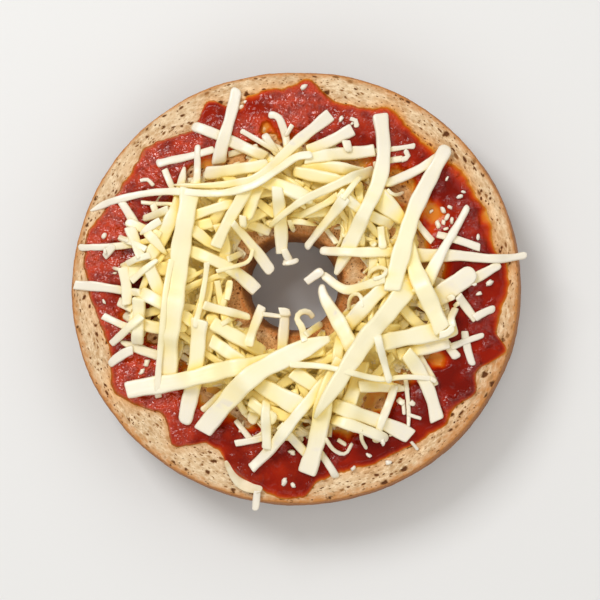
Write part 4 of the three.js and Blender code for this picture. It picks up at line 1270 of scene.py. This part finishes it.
for piece in (matted, broad, strips, curls, rim, crumbs, core):
    points = read_points(piece)
    fringe = smooth_step((np.hypot(points[:, 0], points[:, 1]) - FRINGE_FROM) / FRINGE_WIDTH)
    # A deeper yellow towards the left, away from the fringe, added to the painted shade.
    left_yellowing = LEFT_YELLOWING * smooth_step(0.5 - points[:, 0] / LEFT_YELLOWING_SIDE) * (1 - fringe)
    write_values(piece, "painted_crevice_shade", painted_crevice_shade(points) * (CORE_CREVICE_SHADE_SHARE if piece is core else 1) + left_yellowing)
    # The heap's depth over the bread: where it is low, and further out at the fringe, the cheese is painted
    # paler.
    stack = (heap_height(points[:, :2]) - CUT_HEIGHT) / MM
    stack = np.maximum(stack, CORE_PALLOR_DEPTH) if piece is core else stack * (1 - FRINGE_PAINTED_PALLOR * fringe)
    write_values(piece, "stack", stack)

# Studio: a plain pale floor, a large soft light from the upper left with weaker ones round the other sides,
# and a camera that looks almost straight down.
FLOOR_SIZE = 3.0
FLOOR_GAP = 0.05 * MM
FLOOR_COLOUR = srgb(226, 226, 226)
# Each light's name, place and size in metres, and power in watts.
LIGHTS = (
    ("key_light", -0.36, 0.42, 0.7, 0.33, 3.85),
    ("right_fill", 0.6, -0.1, 0.7, 0.6, 1.0),
    ("near_fill", -0.1, -0.6, 0.7, 0.6, 1.7),
    ("far_fill", 0.3, 0.6, 0.7, 0.6, 1.2),
)
SKY_STRENGTH = 0.46
SKY_COLOUR = (1.0, 0.97, 0.9, 1.0)
CAMERA_TARGET = Vector((1.05, -3.17, 11.0)) * MM
CAMERA_DISTANCE = 650 * MM
CAMERA_TILT = math.radians(5)
CAMERA_AZIMUTH = math.radians(-45)
SCALE_AT_TARGET = 0.2543 * MM
IMAGE_SIDE = 600
SENSOR = 36

bpy.ops.object.select_all(action="DESELECT")
bpy.ops.mesh.primitive_plane_add(size=FLOOR_SIZE, location=(0, 0, bread_low.z - FLOOR_GAP))
floor = bpy.context.object
floor.name = "floor"
floor_finish, tree, shader = new_material("pale_floor")
set_inputs(tree, shader, {"Base Color": FLOOR_COLOUR, "Roughness": 0.7})
floor.data.materials.append(floor_finish)

for name, x, y, z, size, power in LIGHTS:
    lamp = bpy.data.lights.new(name, "AREA")
    lamp.shape = "SQUARE"
    lamp.size = size
    lamp.energy = power
    light = bpy.data.objects.new(name, lamp)
    light.location = (x, y, z)
    light.rotation_euler = (-Vector((x, y, z))).to_track_quat("-Z", "Y").to_euler()
    bpy.context.scene.collection.objects.link(light)
world = bpy.data.worlds.new("studio")
bpy.context.scene.world = world
world.use_nodes = True
sky = world.node_tree.nodes["Background"]
set_inputs(world.node_tree, sky, {"Color": SKY_COLOUR, "Strength": SKY_STRENGTH})
bpy.context.scene.view_settings.view_transform = "Standard"

towards = Vector((
    math.sin(CAMERA_TILT) * math.cos(CAMERA_AZIMUTH),
    math.sin(CAMERA_TILT) * math.sin(CAMERA_AZIMUTH),
    math.cos(CAMERA_TILT),
))
right = Vector((0, 1, 0)).cross(towards).normalized()
upward = towards.cross(right)
lens = bpy.data.cameras.new("camera")
lens.sensor_width = SENSOR
lens.lens = SENSOR * CAMERA_DISTANCE / (SCALE_AT_TARGET * IMAGE_SIDE)
camera = bpy.data.objects.new("camera", lens)
turned = Matrix((right, upward, towards)).transposed().to_4x4()
camera.matrix_world = Matrix.Translation(CAMERA_TARGET + towards * CAMERA_DISTANCE) @ turned
bpy.context.scene.collection.objects.link(camera)
bpy.context.scene.camera = camera
